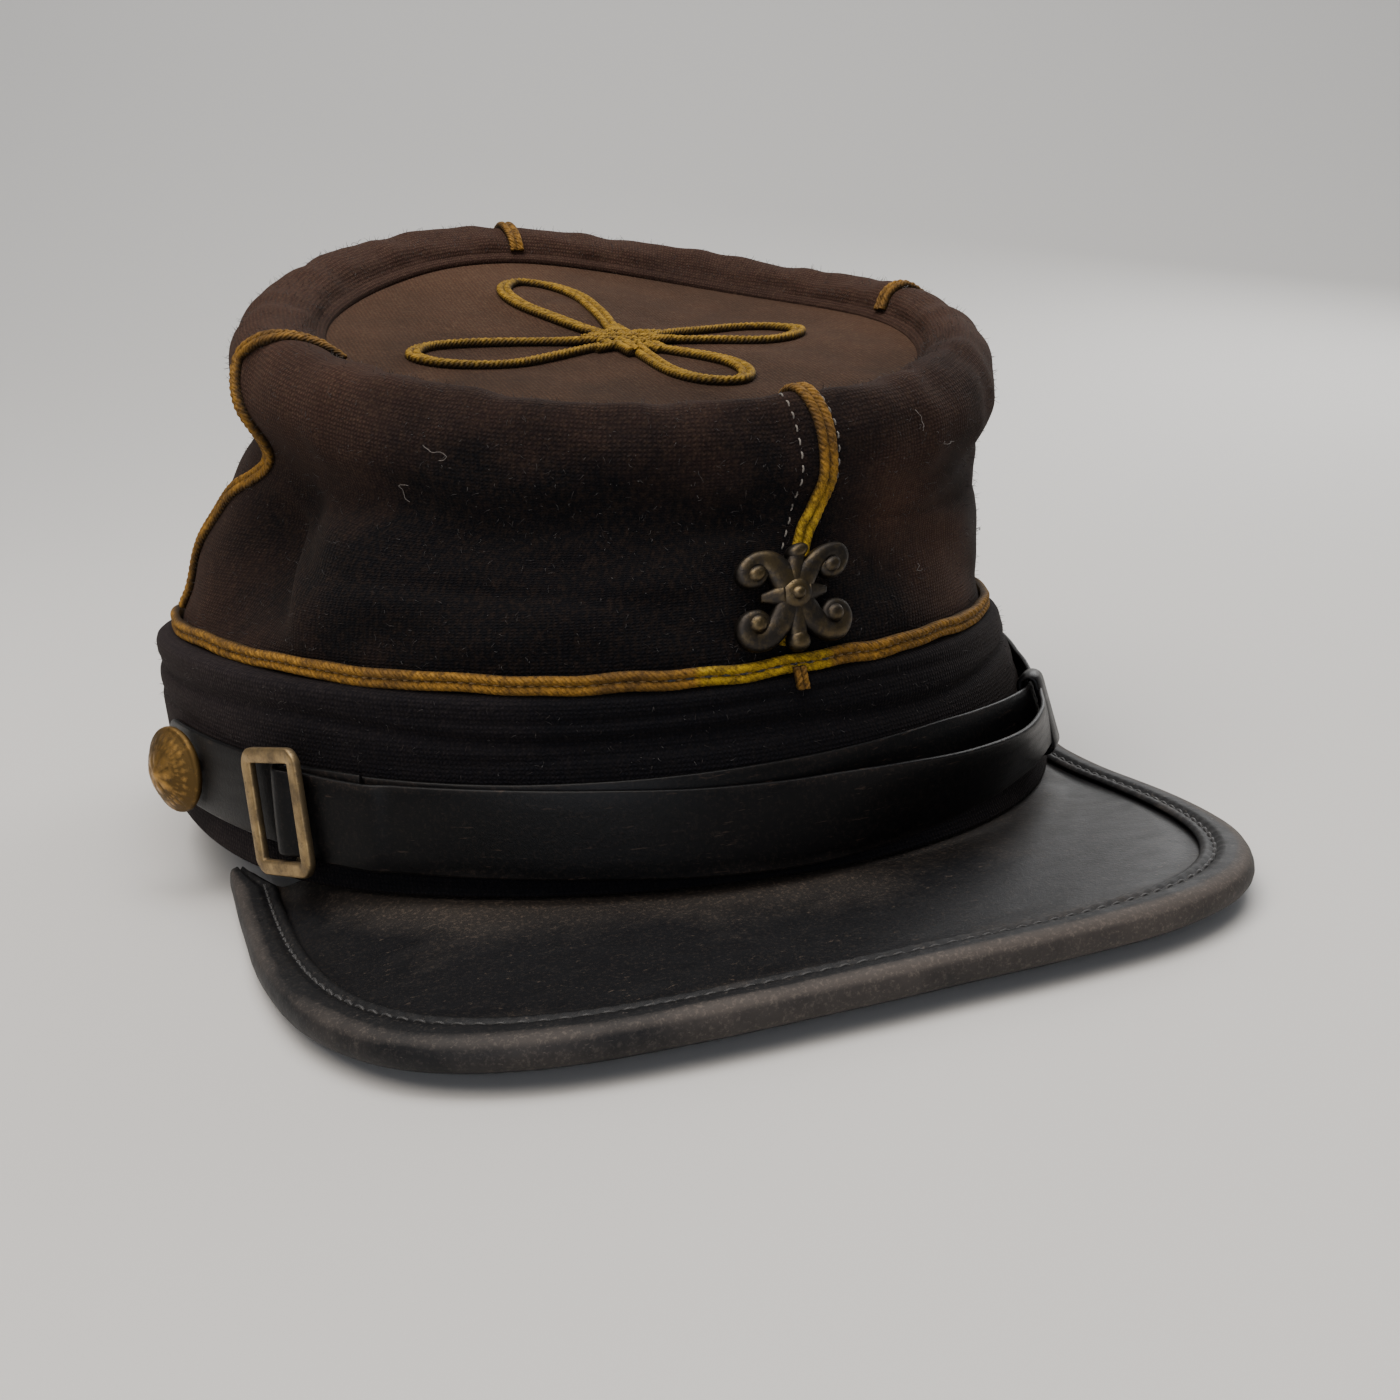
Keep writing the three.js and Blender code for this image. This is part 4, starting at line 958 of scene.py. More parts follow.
# Columns: distance in from the outer edge, height
BINDING_SECTION = np.array([
    [7.6, -2.1], [7.5, -1.75], [7.0, -1.35], [6.4, -1.3], [5.9, -1.7], [SEAM_IN, -1.85], [5.1, -1.7],
    [4.6, -1.25], [3.9, -1.15], [3.1, -1.3], [2.2, -1.35], [1.4, -1.6], [0.75, -2.1], [0.3, -2.9],
    [0.05, -3.8], [0, -4.6], [0.2, -5.5], [0.6, -6.2], [1.3, -6.75], [2.2, -7.0], [4.5, -7.0], [6.2, -6.9],
    [6.2, -6.3], [3.5, -6.2], [BINDING_SKIN, -6.2], [BINDING_SKIN, -4.6], [BINDING_SKIN, -2.3], [4.5, -2.25],
])
inset, level = BINDING_SECTION.T
on_upper_side = level > -2.2


def binding_rows():
    outside, skin, inside = peak_edge(0), peak_edge(1.1), peak_edge(BINDING_WIDTH)
    run = (edge_share * run_along(outside)[-1])[:, None]
    room = np.linalg.norm(peak_root - outside, axis=-1) - 1.1
    reach = np.minimum(1, room / BINDING_WIDTH)[:, None, None]
    point = blend(outside[:, None], inside[:, None], (inset / BINDING_WIDTH)[None, :, None] * reach)
    point[:, inset == BINDING_SKIN] = skin[:, None]
    ridge = np.exp(-((inset - SEAM_IN) / 1.5) ** 2) * on_upper_side
    pucker = 0.13 * np.cos(2 * np.pi * run / STITCH_MM) * ridge
    dents = 0.6 * (0.16 * np.sin(run / 9.1) + 0.1 * np.sin(run / 3.9 + 1)) * np.exp(-(inset / 2.0) ** 2)
    point[..., 2] = level + peak_lift(point[..., 1]) + pucker
    return point + unit(inside - outside)[:, None] * dents[..., None]


binding_mesh = swept_mesh("binding_roll", binding_rows())
corner_rub = 0.85 * np.exp(-((inset - 1.6) / 1.0) ** 2) * on_upper_side
side_rub = 0.5 * (inset < 0.8) * (level < -2.0)
ridge_rub = 0.25 * (inset > 5.8) * on_upper_side
along_edge = 0.55 + 0.45 * ease(edge_share, 0.25, 0.5)
mark_grid(binding_mesh, "rub", (corner_rub + side_rub + ridge_rub)[None] * along_edge[:, None], True)
place("binding_roll", binding_mesh, binding_leather, ["peak_binding"])


# %% [markdown]
# ## Stitches
# Each stitch is a short thread that dips into the material at both ends. A row of them is a row of small
# bent tubes that follow the surface, so they catch the light one by one, as real stitches do.

# %% Rows of thread
# The ends of a stitch dip this far into what it is sewn through
STITCH_DIP = 0.35


def section_rings(ahead, guess, sides):
    """A ring of unit vectors square to each of the directions ahead."""
    side = unit(np.cross(ahead, guess))
    other = np.cross(ahead, side)
    turn = np.radians(np.arange(sides) * 360 / sides)[None, :, None]
    return np.cos(turn) * side[:, None] + np.sin(turn) * other[:, None], side


def thread_tube(path, radius, sides=6):
    """A tube along a path. Its ends are left open, where a thread dips into the material."""
    rings, _ = section_rings(unit(np.gradient(path, axis=0)), np.array([0.31, 0.17, 0.93]), sides)
    return grid_mesh("thread", path[:, None] + rings * radius, False, True)


def stitch_row(name, path, normal, pitch, share, radius, proud, thread):
    """Stitches along path, each `share` of the pitch long and `proud` mm above it in the middle."""
    run = run_along(path)
    bend = np.linspace(0, 1, 7)
    rise = (proud + STITCH_DIP) * np.sin(bend * np.pi) ** 0.6 - STITCH_DIP
    stitches = []
    for start in np.arange(0.4, run[-1] - pitch, pitch):
        stops = start + bend * pitch * share
        line = read_path(stops, run, path) + read_path(stops, run, normal) * rise[:, None]
        stitches.append(thread_tube(line, radius))
    place(name, joined_mesh(name, stitches), thread)


def plain_thread(name, hex_value, rough):
    material, tree = start_material(name)
    spot = add_node(tree, "ShaderNodeTexCoord").outputs["Object"]
    wear = cloud(tree, spot, 2.5, 3, 0.7)
    dark = tuple(c * 0.45 for c in colour(hex_value)[:3]) + (1.0,)
    tint = mix(tree, ramp(tree, wear, [(0.35, 0), (0.7, 1)]), colour(hex_value), dark)
    surface = {"Roughness": rough, "Sheen Weight": 0.2}
    finish_material(tree, surface, {"Base Color": tint}, [(wear, 0.4, 0.0002)])
    return material


white_cotton = plain_thread("undyed cotton thread, soiled", "#7d766d", 0.85)
black_linen = plain_thread("waxed black linen thread", "#1b1817", 0.55)
tan_linen = plain_thread("waxed linen thread, tan", "#7a5c2c", 0.7)

# Columns: level on the crown, angle
crown_seams = {
    "seam_stitches_right": [(0.3, 275.2), (0.45, 275.8), (0.6, 275.4), (0.74, 274.8), (0.83, 274.4)],
    "seam_stitches_left": [(0.52, 281.2), (0.62, 281.2), (0.74, 280.9), (0.84, 280.4)],
}
for name, guide in crown_seams.items():
    s, angle = evenly(smooth_path(guide), 0.002).T
    stitch_row(name, crown_skin(angle, s), crown_normal(angle, s), 2.3, 0.6, 0.15, 0.2, white_cotton)

edge_line = blend(peak_edge(0), peak_edge(BINDING_WIDTH), SEAM_IN / BINDING_WIDTH)[8:-8]
edge_line[:, 2] = -1.8 + peak_lift(edge_line[:, 1])
edge_up = np.broadcast_to(UP, edge_line.shape)
stitch_row("binding_stitches", edge_line, edge_up, STITCH_MM, 0.72, 0.26, 0.2, black_linen)

groove_turn = np.arange(0, 360, 0.1)
groove_line = base_line(groove_turn, 1.35)
stitch_row("braid_stitches", groove_line, outward(groove_turn), 2.0, 0.6, 0.15, 0.25, tan_linen)

# %% Dark stitches where the braid was sewn on again
repair_turn = np.arange(REPAIR_FROM - 3, REPAIR_TO + 1, 0.1)
repair_line = base_line(repair_turn, 1.5)
stitch_row("repair_stitches", repair_line, outward(repair_turn), 3.1, 0.5, 0.2, 0.3, black_linen)

# %% [markdown]
# ## The chin strap
# The strap is two lengths of black leather. The inner one comes from the far button, goes round the
# middle bar of the buckle and back. The outer one starts at the near button, passes through the buckle
# and lies over the inner one, then swings out to its keeper. Both are swept along the same rows of
# angle, height and stand-off as their solids, with rounded edges.

# %% Sweep a strap along the band
STRAP_WIDTH, STRAP_THICK = 15.0, 1.0
KEEPER = {"angle": 318, "z": 13.4, "out": 3.9, "strap": 12.4, "half": 3.5}
# Columns: share of half the strap's width, distance added to it in mm, share of half its thickness
STRAP_SECTION = np.array([
    [-1, 0.16, -1], [-1, 0.0, -0.5], [-1, 0.0, 0.5], [-1, 0.16, 0.86], [-1, 0.42, 1], [-0.5, 0, 1.16],
    [0, 0, 1.2], [0.5, 0, 1.16], [1, -0.42, 1], [1, -0.16, 0.86], [1, 0.0, 0.5], [1, 0.0, -0.5],
    [1, -0.16, -0.9], [0.5, 0, -1], [0, 0, -1], [-0.5, 0, -1],
])
# The section's points on the strap's outer edges, painted lighter for their rub and for the highlight along them,
# and the scuff on its front
STRAP_EDGES_RUB_AND_HIGHLIGHT = (3, 4, 8, 9)
SCUFF = {"angle": 263, "wide": 3.4, "up": -1.5, "high": 3.2}


def strap_rows(rows):
    """Rows of angle, height, stand-off, lean and width. The last two may be left out: upright, full width."""
    full = [tuple(row) + (0, STRAP_WIDTH)[len(row) - 3:] for row in rows]
    return np.array(full, float)


def limited_slope(before, after):
    both = before + after
    return np.where(before * after <= 0, 0, 2 * before * after / np.where(both == 0, 1, both))


def ease_through(table, step_mm):
    """Rows between the given ones, on a smooth curve that never swings past them."""
    padded = np.concatenate([table[:1], table, table[-1:]])
    parts = []
    for a, b, c, d in zip(padded, padded[1:], padded[2:], padded[3:]):
        length = np.linalg.norm(band_point(b[0], b[1], b[2]) - band_point(c[0], c[1], c[2]))
        w = np.linspace(0, 1, max(3, int(length / step_mm) + 1), endpoint=False)[:, None]
        first, last = limited_slope(b - a, c - b), limited_slope(c - b, d - c)
        parts.append((2 * w ** 3 - 3 * w ** 2 + 1) * b + (w ** 3 - 2 * w ** 2 + w) * first
                     + (3 * w ** 2 - 2 * w ** 3) * c + (w ** 3 - w ** 2) * last)
    return np.concatenate(parts + [table[-1:]])


def wall_tilt(angle, z):
    """How far the band's wall leans out from upright, in radians."""
    wall = band_point(angle, np.asarray(z) + 5) - band_point(angle, np.asarray(z) - 5)
    return np.arctan2((wall * outward(angle)).sum(-1), wall[..., 2])


def strap_mesh(name, rows):
    spine = ease_through(strap_rows(rows), 0.9)
    angle, z, out, lean, width = spine.T
    centre = band_point(angle, z, out)
    ahead = np.gradient(centre, axis=0)
    ahead[:, 2] = 0
    ahead = unit(ahead)
    away = outward(angle)
    tilt = np.radians(lean) + wall_tilt(angle, z)
    rise = away * np.sin(tilt)[:, None] + UP * np.cos(tilt)[:, None]
    rise = unit(rise - ahead * (rise * ahead).sum(-1, keepdims=True))
    face = np.cross(ahead, rise)
    share, more, deep = STRAP_SECTION.T
    up = width[:, None] / 2 * share + more
    # The face looks away from the band on one way round the buckle's bar and towards it on the other
    facing = (face * away).sum(-1, keepdims=True)
    proud = deep * STRAP_THICK / 2 * np.where(np.abs(facing) > 0.3, np.sign(facing), 1)
    mesh = swept_mesh(name, centre[:, None] + rise[:, None] * up[..., None] + face[:, None] * proud[..., None])
    # The strap's edges are painted lighter, partly for real rub and partly as painted highlight along them.
    edge_rub_and_highlight = np.isin(np.arange(len(share)), STRAP_EDGES_RUB_AND_HIGHLIGHT) * 0.55
    off = ((angle[:, None] - SCUFF["angle"]) / SCUFF["wide"]) ** 2 + ((up - SCUFF["up"]) / SCUFF["high"]) ** 2
    mark_grid(mesh, "rub", edge_rub_and_highlight + 0.75 * np.exp(-off), True)
    return mesh


LEFT_ROWS = [
    (189.2, 19.2, 0.85, 0, 9.0), (190.4, 19.1, 0.85, 0, 13.4), (192.5, 19.0, 0.85), (199.0, 18.5, 0.85),
    (206.0, 17.6, 0.85), (211.0, 16.8, 0.85), (214.4, 16.4, 0.90), (217.5, 16.0, 4.95), (220.1, 15.5, 3.50),
    (222.0, 15.1, 3.45), (227.8, 14.1, 3.40), (231.0, 13.8, 2.40), (240.0, 13.1, 2.25), (252.0, 11.9, 2.25),
    (264.0, 10.4, 2.25), (274.0, 9.8, 2.60, 4), (283.0, 10.1, 4.50, 16, 14.6), (292.0, 10.5, 6.40, 28, 13.6),
    (301.0, 11.2, 7.40, 32, 12.4), (309.0, 12.3, 7.00, 22, 11.4), (KEEPER["angle"] - 3, 13.2, 5.90, 6, 11.0),
    (KEEPER["angle"], 13.4, 5.40, 0, 11.0),
]
RIGHT_ROWS = [
    (363.0, 18.4, 0.85, 0, 9.0), (361.8, 18.3, 0.85, 0, 12.6), (359.5, 18.1, 0.85, 0, 14),
    (350.0, 17.3, 0.85, 0, 14), (341.0, 16.3, 0.85, 0, 13.4), (333.0, 15.5, 1.05, 0, 13),
    (326.0, 14.7, 2.40, 0, 12.6), (KEEPER["angle"], KEEPER["z"], KEEPER["out"], 0, KEEPER["strap"]),
    (310.0, 13.2, 2.90, 2, 13.0), (301.0, 13.0, 1.50, 0, 14),
    (292.0, 13.0, 0.95), (280.0, 12.9, 0.85), (262.0, 12.8, 0.85), (246.0, 13.2, 0.85),
    (232.0, 14.2, 0.85), (224.0, 15.1, 0.85), (219.6, 15.7, 0.85), (217.9, 15.9, 0.87), (217.1, 15.9, 1.15),
    (216.75, 15.9, 2.05), (217.1, 15.9, 2.95), (217.9, 15.9, 3.23), (220.0, 15.9, 2.15), (222.0, 15.9, 2.12),
    (227.0, 15.3, 2.12),
]


# %% Frame of axes on the band for the fittings
def turned(vector, axis, degrees):
    return np.array(Matrix.Rotation(math.radians(degrees), 3, Vector(axis)) @ Vector(vector))


def band_axes(angle, z, out, turn=0.0, lean=0.0):
    """A function that puts (along, up, out) distances at a place on the band, as arrays of points."""
    along = turned(np.cross(UP, outward(angle)), UP, turn)
    face = turned(np.cross(along, UP), along, math.degrees(float(wall_tilt(angle, z))))
    up = turned(np.cross(face, along), face, lean)
    along = turned(along, face, lean)
    centre = band_point(angle, z, out)
    return lambda u, v, h: (centre + np.asarray(u)[..., None] * along + np.asarray(v)[..., None] * up
                            + np.asarray(h)[..., None] * face)


def rounded_outline(width, height, radius, steps=6):
    """Points of a rounded rectangle, as arrays across and up."""
    across, up = [], []
    for sx, sy, start in ((1, 1, 0), (-1, 1, 90), (-1, -1, 180), (1, -1, 270)):
        turn = np.radians(start + np.linspace(0, 90, steps))
        across.append(sx * (width / 2 - radius) + radius * np.cos(turn))
        up.append(sy * (height / 2 - radius) + radius * np.sin(turn))
    return np.concatenate(across), np.concatenate(up)


def keeper_mesh():
    at = band_axes(KEEPER["angle"], KEEPER["z"], KEEPER["out"])
    deep, tall, end = 1.1, KEEPER["strap"] / 2 + 1, KEEPER["half"]
    # Columns: how far out in the loop's wall, how far along the strap
    section = [(0, end - 0.2), (0, 0.2 - end), (0.25, -end), (0.85, -end), (1.1, 0.3 - end), (1.2, 0),
               (1.1, end - 0.3), (0.85, end), (0.25, end)]
    rows = []
    for wall, u in section:
        h, v = rounded_outline(2 * (deep + wall), 2 * (tall + wall), (deep + wall) * 0.98)
        rows.append(at(np.full_like(h, u), v, h))
    mesh = grid_mesh("keeper", np.stack(rows), True, True)
    mark_grid(mesh, "rub", np.full((len(rows), len(h)), 0.1))
    return mesh


left_strap = joined_mesh("outer_strap", [strap_mesh("strap", LEFT_ROWS), keeper_mesh()])
right_strap = strap_mesh("inner_strap", RIGHT_ROWS)
place("outer_strap", left_strap, strap_leather, ["chin_strap_left"])
place("inner_strap", right_strap, strap_leather, ["chin_strap_right"])

# %% [markdown]
# ## Buckle and buttons
# The buckle is a cast brass frame with a middle bar, and the buttons are stamped brass shells. Both have
# dulled to a brown film that is rubbed bright on the edges and high spots. A rounded section swept round
# the frame gives the soft cast edges, and the button's dome carries a plain rosette in low relief.

# %% Material of tarnished brass
def tarnished_brass(name, bright, film, grime, rough):
    """Metal keeps its default IOR. The film hides most of it, and wear on the high places shows it."""
    material, tree = start_material(name)
    spot = add_node(tree, "ShaderNodeTexCoord").outputs["Object"]
    patina = cloud(tree, spot, 4.5, 6, 0.7)
    spots = ramp(tree, cloud(tree, spot, 1.2, 4, 0.75), [(0.56, 0), (0.72, 1)])
    scratches = cloud(tree, stretch(tree, spot, (1, 4, 0.6)), 1.4, 3, 0.7)
    cover = total(tree, (patina, 1.0), (attribute(tree, "high"), -0.3))
    cover = ramp(tree, sums(tree, "ADD", cover, 0.2), [(0.38, 0), (0.66, 1)])
    skin = mix(tree, cover, colour(bright), colour(film))
    skin = mix(tree, sums(tree, "MULTIPLY", spots, 0.65), skin, colour(grime))
    gloss = between(tree, cover, *rough)
    links = {"Base Color": skin, "Roughness": gloss, "Metallic": between(tree, spots, 1.0, 0.7)}
    finish_material(tree, {}, links, [(patina, 0.2, 0.0004), (spots, 0.3, 0.0002), (scratches, 0.15, 0.0002)])
    return material


buckle_brass = tarnished_brass("cast brass, dulled", "#a68d63", "#6f604a", "#2c241b", (0.4, 0.62))
button_brass = tarnished_brass("stamped brass, tarnished", "#a88247", "#5e4a2b", "#231a10", (0.36, 0.62))


# %% Build the buckle
BUCKLE = {"angle": 216.7, "z": 15.7, "out": 4.25, "turn": -9, "lean": 6}
BUCKLE_FRAME = {"width": 16.4, "height": 22, "corner": 2.8, "half_bar": 1.35, "rise": 0.8}
# Columns: height on the buckle, how deep the middle bar sinks towards the band
MIDDLE_BAR = np.array([[-9.8, 0], [-9.0, -1.9], [-8.2, -2.5], [-7.4, -2.62], [7.4, -2.62], [8.2, -2.5],
                       [9.0, -1.9], [9.8, 0]])


def squared(wave):
    """A sine or cosine pushed towards 1 and -1, which turns a round section into a squarish one."""
    return np.sign(wave) * np.abs(wave) ** 0.5


def buckle_mesh():
    at = band_axes(*BUCKLE.values())
    width, height, corner, half_bar, rise = BUCKLE_FRAME.values()
    section = np.radians(np.arange(0, 360, 18))
    rows, shine = [], []
    for inset, h in zip(1.1 + half_bar * squared(np.cos(section)), rise * squared(np.sin(section))):
        u, v = rounded_outline(width - 2 * inset, height - 2 * inset, max(0.45, corner - inset), 8)
        nick = 0.06 * np.sin(u * 1.9 + v * 1.3) + 0.05 * np.sin(v * 2.7)
        rows.append(at(u, v, h + nick))
        shine.append(np.full(len(u), np.clip(h / rise, 0, 1) * 0.8))
    frame_part = grid_mesh("frame_part", np.stack(rows), True, True)
    mark_grid(frame_part, "high", np.stack(shine))
    v, sink = MIDDLE_BAR.T[..., None]
    turn = np.radians(np.arange(0, 360, 30))
    u = 1.8 + v * math.tan(math.radians(BUCKLE["lean"])) + 0.5 * np.cos(turn)
    bar = swept_mesh("bar", at(u, np.broadcast_to(v, u.shape), sink + 0.45 * np.sin(turn)))
    mark(bar, "high", np.zeros(len(bar.vertices)))
    return joined_mesh("buckle_frame", [frame_part, bar])


place("buckle_frame", buckle_mesh(), buckle_brass, ["buckle"])


# %% Build the buttons
# Columns: radius and height of the shank and of the turned rim, before the dome starts
BUTTON_RIM = np.array([[1.5, -1.1], [1.5, 0], [7.2, 0], [7.9, 0.05], [8.15, 0.35], [8.2, 0.7], [8.1, 1.1],
                       [7.85, 1.4], [7.55, 1.45]])


def button_mesh(name, angle, facing):
    at = band_axes(angle, 18.4, 3.1, facing - angle)
    turn = np.radians(np.arange(0, 360, 3))
    dome = np.linspace(0, 1, 26)
    radius = np.concatenate([BUTTON_RIM[:, 0], 7.3 * (1 - dome) + 0.05])
    height = np.concatenate([BUTTON_RIM[:, 1], 1.62 + 3.3 * np.sin(dome * np.pi / 2)])
    r, t = radius[:, None], turn[None]
    petal = np.abs(np.cos(4 * t)) ** 0.7 * np.exp(-((r - 2.9) / 1.2) ** 2)
    leaves = np.abs(np.sin(12 * t)) * np.exp(-((r - 6.1) / 0.6) ** 2)
    boss = np.exp(-(r / 1.1) ** 2)
    beads = np.cos(18 * t) ** 2 * np.exp(-((r - 4.9) / 0.35) ** 2)
    relief = (0.16 * petal + 0.14 * leaves + 0.12 * beads + 0.25 * boss) * (height[:, None] > 1.6)
    mesh = grid_mesh(name, at(r * np.cos(t), r * np.sin(t), height[:, None] + relief), False, True)
    mark_grid(mesh, "high", np.clip(relief * 5 + (height[:, None] > 0.9) * 0.15, 0, 1))
    return mesh


place("near_button", button_mesh("near_button", 195.6, 209), button_brass, ["side_button_right"])
place("far_button", button_mesh("far_button", 357, 357), button_brass, ["side_button_left"])

# %% [markdown]
# ## The badge
# A small cast ornament is pinned over the front braid. It is four scrolls that curl outward from a boss,
# with a drop above and below. Each scroll is a half-round bar swept along a curl and thinned to its end,
# and darkened bronze with gilt left on its high spots finishes it.

# %% Build the badge
BADGE = {"angle": 276.3, "level": 0.185, "out": 2.15, "wide": 1.12}
# How far up the crown, as a share of its skin, one millimetre of the badge reaches
LEVEL_PER_MM = 0.0116


def badge_point(u, v, h):
    angle = BADGE["angle"] + np.degrees(u * BADGE["wide"] / UPPER_RING["front"])
    s = BADGE["level"] + v * LEVEL_PER_MM
    return crown_surface(angle, s) + crown_normal(angle, s) * (BADGE["out"] + h)[..., None]


def badge_bar(guide, wide, tall):
    path = evenly(smooth_path(guide), 0.35)
    share = np.linspace(0, 1, len(path))[:, None]
    ahead = unit(np.gradient(path, axis=0))
    turn = np.radians(np.linspace(0, 180, 11))[None]
    half, rise = blend(wide[0], wide[1], share), blend(tall[0], tall[1], share)
    across = half * np.cos(turn)
    u = path[:, :1] + ahead[:, 1:] * across
    v = path[:, 1:] - ahead[:, :1] * across
    h = rise * np.sin(turn) ** 0.45
    return badge_grid(u, v, h)


def badge_grid(u, v, h):
    mesh = swept_mesh("badge_piece", badge_point(u, v, h))
    mark_grid(mesh, "high", np.clip(h / 2.6, 0, 1) ** 3 * 0.8, True)
    return mesh


def badge_bead(u, v, radius, height):
    turn = np.radians(np.arange(0, 360, 20))[None]
    ring = np.array([1.0, 1.0, 0.96, 0.86, 0.7, 0.5, 0.28, 0.08])[:, None]
    h = height * np.array([0.0, 0.35, 0.55, 0.72, 0.86, 0.95, 0.99, 1.0])[:, None] + 0 * turn
    return badge_grid(u + radius * ring * np.cos(turn), v + radius * ring * np.sin(turn), h)


SCROLL = [(0.6, 1.0), (1.9, 3.0), (3.6, 5.4), (5.8, 7.4), (8.2, 7.6), (9.5, 5.8), (9.0, 3.9), (7.3, 3.3),
          (6.2, 4.3), (6.9, 5.3)]
parts = [badge_bead(0, 0, 3.3, 2.7), badge_bead(0, 0, 1.6, 3.3)]
for side in (-1, 1):
    for end in (-1, 1):
        parts.append(badge_bar([(u * side, v * end) for u, v in SCROLL], (2.7, 1.3), (2.2, 1.8)))
        parts.append(badge_bead(7.4 * side, 4.5 * end, 1.9, 2.5))
for end in (-1, 1):
    parts.append(badge_bar([(0, 2.2 * end), (0, 5.0 * end), (0, 8.4 * end)], (1.5, 1.8), (2.2, 2.0)))
    parts.append(badge_bead(0, 8.6 * end, 2.1, 2.4))
    parts.append(badge_bar([(2.4 * end, 0), (4.6 * end, 0), (6.4 * end, 0)], (2.1, 0.8), (2.3, 1.1)))
badge_bronze = tarnished_brass("cast bronze, darkened, gilt on its high spots", "#66573c", "#37332f",
                               "#1a1715", (0.34, 0.5))
place("scroll_badge", joined_mesh("scroll_badge", parts), badge_bronze, ["cap_badge"])

# %% [markdown]
# ## Nap, lint and stray threads
# Brushed wool has a haze of short fibres, and an old cap collects lint and hairs. A particle system
# would need baking, so the fibres are a few thousand thin three-sided spikes in one mesh, rooted in the
# cloth. They are drawn 0.1 mm thick, several times too coarse, or they would vanish in the picture.

# %% Scatter fibres
chance = np.random.default_rng(7)
FIBRE_RADIUS = 0.05
CROWN_FIBRES, BAND_FIBRES = 5200, 900


def spikes(name, skin, root_normal, count, lengths, material):
    """Thin bent spikes on a skin, between two lengths."""
    lean = unit(root_normal * 0.75 + chance.normal(size=(count, 3)) * 0.55)
    length = chance.uniform(*lengths, count)
    rings, side = section_rings(lean, unit(chance.normal(size=(count, 3))), 3)
    points = []
    for share, thick in ((0, 1), (0.5, 0.8), (1, 0.15)):
        bent = skin + lean * (length * share)[:, None] + side * (length * 0.45 * share ** 2)[:, None]
        points.append(bent[:, None] + rings * FIBRE_RADIUS * thick)
    points = np.stack(points, 1).reshape(-1, 3)
    faces = []
    for level in (0, 3):
        for k in range(3):
            faces.append([level + k, level + (k + 1) % 3, level + 3 + (k + 1) % 3, level + 3 + k])
    faces = (np.array(faces)[None] + (np.arange(count) * 9)[:, None, None]).reshape(-1, 4)
    mesh = bpy.data.meshes.new(name)
    mesh.from_pydata(to_row(points).tolist(), [], faces.tolist())
    place(name, mesh, material)


nap_fibre = plain_thread("loose wool fibre, brown", "#2b221e", 0.95)
lint = plain_thread("lint, grey", "#6f665f", 0.9)

angle = chance.uniform(0, 360, CROWN_FIBRES)
level = chance.uniform(0.02, 0.99, CROWN_FIBRES)
skin = crown_skin(angle, level, -FIBRE_RADIUS)
spikes("crown_nap", skin, crown_normal(angle, level), CROWN_FIBRES, (0.6, 1.5), nap_fibre)

angle = chance.uniform(0, 360, BAND_FIBRES)
level = chance.uniform(0.62, 0.97, BAND_FIBRES)
skin = band_skin(angle, level, -FIBRE_RADIUS)
spikes("band_nap", skin, outward(angle), BAND_FIBRES, (0.5, 1.2), nap_fibre)


# %% Stray hairs
def stray_hair(angle, s, length, seed):
    """A thin hair that wanders over the crown. A degree there is about 1.4 mm."""
    draw = np.random.default_rng(seed)
    steps = 16
    wander = np.cumsum(draw.normal(0, 0.5, steps)) + draw.uniform(0, 6.28)
    da = np.cumsum(np.cos(wander)) * length / steps / 1.4
    ds = np.cumsum(np.sin(wander)) * length / steps / 900
    lift = 0.15 + 0.6 * np.abs(np.sin(np.linspace(0, 5, steps) + seed))
    path = crown_skin(angle + da, np.clip(s + ds * 8, 0.05, 0.95), 0)
    return thread_tube(path + crown_normal(angle + da, np.full(steps, s)) * lift[:, None], 0.055, 4)


hair_spots = [(226, 0.62, 9), (296, 0.6, 8), (300, 0.56, 6)]
hair_spots += [(chance.uniform(0, 360), chance.uniform(0.12, 0.9), chance.uniform(3, 8)) for _ in range(18)]
hairs = [stray_hair(angle, s, length, k) for k, (angle, s, length) in enumerate(hair_spots)]
place("stray_hairs", joined_mesh("stray_hairs", hairs), lint)

# %% [markdown]
# ## The camera and the light
# The photograph looks a little down at the cap's right front from close by, so the camera is placed by
# its direction, distance and lens, and turned with the cap's resting slope. A broad soft box overhead
# and to the left, a low fill and a pale floor give the plain studio light.

# %% Camera
CAMERA = {"azimuth": -20.11, "elevation": 12.16, "roll": -4.06, "distance": 332.6, "lens": 40.446}
AIM = np.array([12.74, -20, 16.0])


def camera_axes():
    a, e, r = (math.radians(CAMERA[key]) for key in ("azimuth", "elevation", "roll"))
    back = np.array([math.sin(a) * math.cos(e), -math.cos(a) * math.cos(e), math.sin(e)])
    level = unit(np.cross(-back, [0, 0, 1]))
    upright = np.cross(level, -back)
    right = level * math.cos(r) + upright * math.sin(r)
    up = -level * math.sin(r) + upright * math.cos(r)
    return right, up, back


camera_data = bpy.data.cameras.new("studio_camera")
camera_data.sensor_width = 36
camera_data.lens = CAMERA["lens"]
camera_data.clip_start = 0.01
camera = bpy.data.objects.new("studio_camera", camera_data)
bpy.context.scene.collection.objects.link(camera)
axes = camera_axes()
eye = to_row(AIM + axes[2] * CAMERA["distance"])
row_axes = [(to_row(axis) - to_row([0, 0, 0])) * 1000 for axis in axes]
pose = [[*(axis[i] for axis in row_axes), eye[i]] for i in range(3)]
camera.matrix_world = Matrix(pose + [[0, 0, 0, 1]])
bpy.context.scene.camera = camera
print("camera at", eye.round(3), "m")


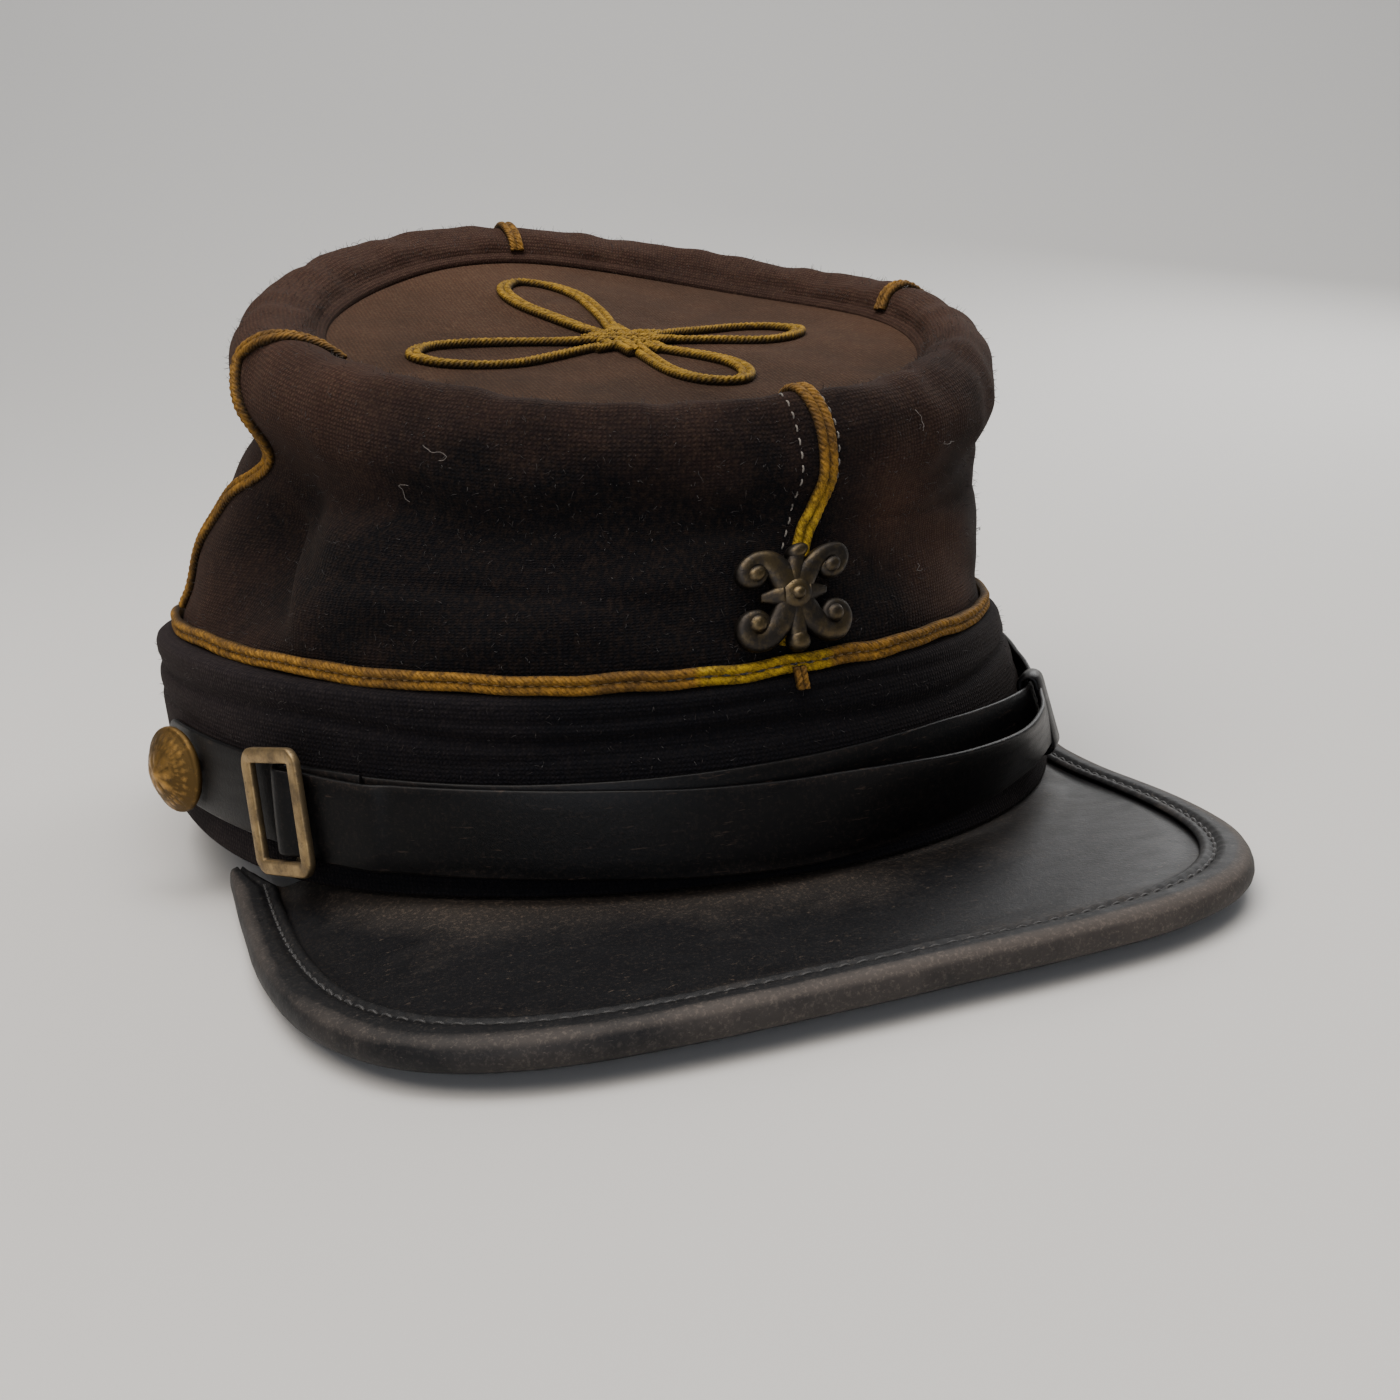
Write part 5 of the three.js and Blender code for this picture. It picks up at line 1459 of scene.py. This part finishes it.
# %% Floor and soft boxes
def soft_box(name, spot, target, size, watts, tint):
    light = bpy.data.lights.new(name, "AREA")
    light.shape = "RECTANGLE"
    light.size, light.size_y = size
    light.energy = watts
    light.color = colour(tint)[:3]
    lamp = bpy.data.objects.new(name, light)
    lamp.location = spot
    lamp.rotation_euler = (Vector(target) - Vector(spot)).to_track_quat("-Z", "Y").to_euler()
    bpy.context.scene.collection.objects.link(lamp)


soft_box("overhead_box", (-0.35, -0.25, 0.95), (0, 0, 0.05), (0.9, 0.9), 10, "#fff6ec")
soft_box("front_fill", (-0.5, -1.1, 0.35), (0, 0, 0.05), (0.8, 0.6), 4, "#eef3ff")
soft_box("back_right_box", (0.75, 0.5, 0.55), (0.05, 0, 0.04), (0.5, 0.7), 4, "#ffffff")
soft_box("sweep_box", (0.1, 0.3, 2.3), (0.6, 1.7, 0.3), (1.8, 1.8), 50, "#ffffff")

# A paper sweep: level under the cap, then curved up behind it, square to the view
VIEW_TURN = math.radians(CAMERA["azimuth"])
BEND_FROM, BEND_RADIUS = 0.45, 2.0
LEVEL_PART = [-3.0, -0.5, 0.2]
# The paper lies this far under the cap, so that the two never share a surface
PAPER_GAP = 0.0002
bend = np.radians(np.linspace(0, 90, 60))
wall = BEND_FROM + BEND_RADIUS
sweep_out = np.concatenate([LEVEL_PART, BEND_FROM + BEND_RADIUS * np.sin(bend), [wall]])
sweep_up = np.concatenate([[0, 0, 0], BEND_RADIUS * (1 - np.cos(bend)), [BEND_RADIUS + 1]]) - PAPER_GAP
sweep_across = np.linspace(-4, 4, 9)[:, None]
sweep = np.stack([sweep_across * math.cos(VIEW_TURN) - sweep_out * math.sin(VIEW_TURN),
                  sweep_across * math.sin(VIEW_TURN) + sweep_out * math.cos(VIEW_TURN),
                  np.broadcast_to(sweep_up, (9, len(sweep_up)))], -1)
floor_material, floor_tree = start_material("matt studio paper, pale")
finish_material(floor_tree, {"Base Color": colour("#c9c7c4"), "Roughness": 0.9}, {})
floor_mesh = bpy.data.meshes.new("studio_floor")
floor_faces, _ = grid_faces(*sweep.shape[:2], False, False)
floor_mesh.from_pydata(sweep.reshape(-1, 3).tolist(), [], floor_faces.tolist())
floor_mesh.shade_smooth()
floor_mesh.materials.append(floor_material)
floor = bpy.data.objects.new("studio_floor", floor_mesh)
bpy.context.scene.collection.objects.link(floor)

world = bpy.data.worlds.new("studio_air")
world.use_nodes = True
world.node_tree.nodes["Background"].inputs["Color"].default_value = colour("#c9ccd0")
world.node_tree.nodes["Background"].inputs["Strength"].default_value = 0.3
bpy.context.scene.world = world
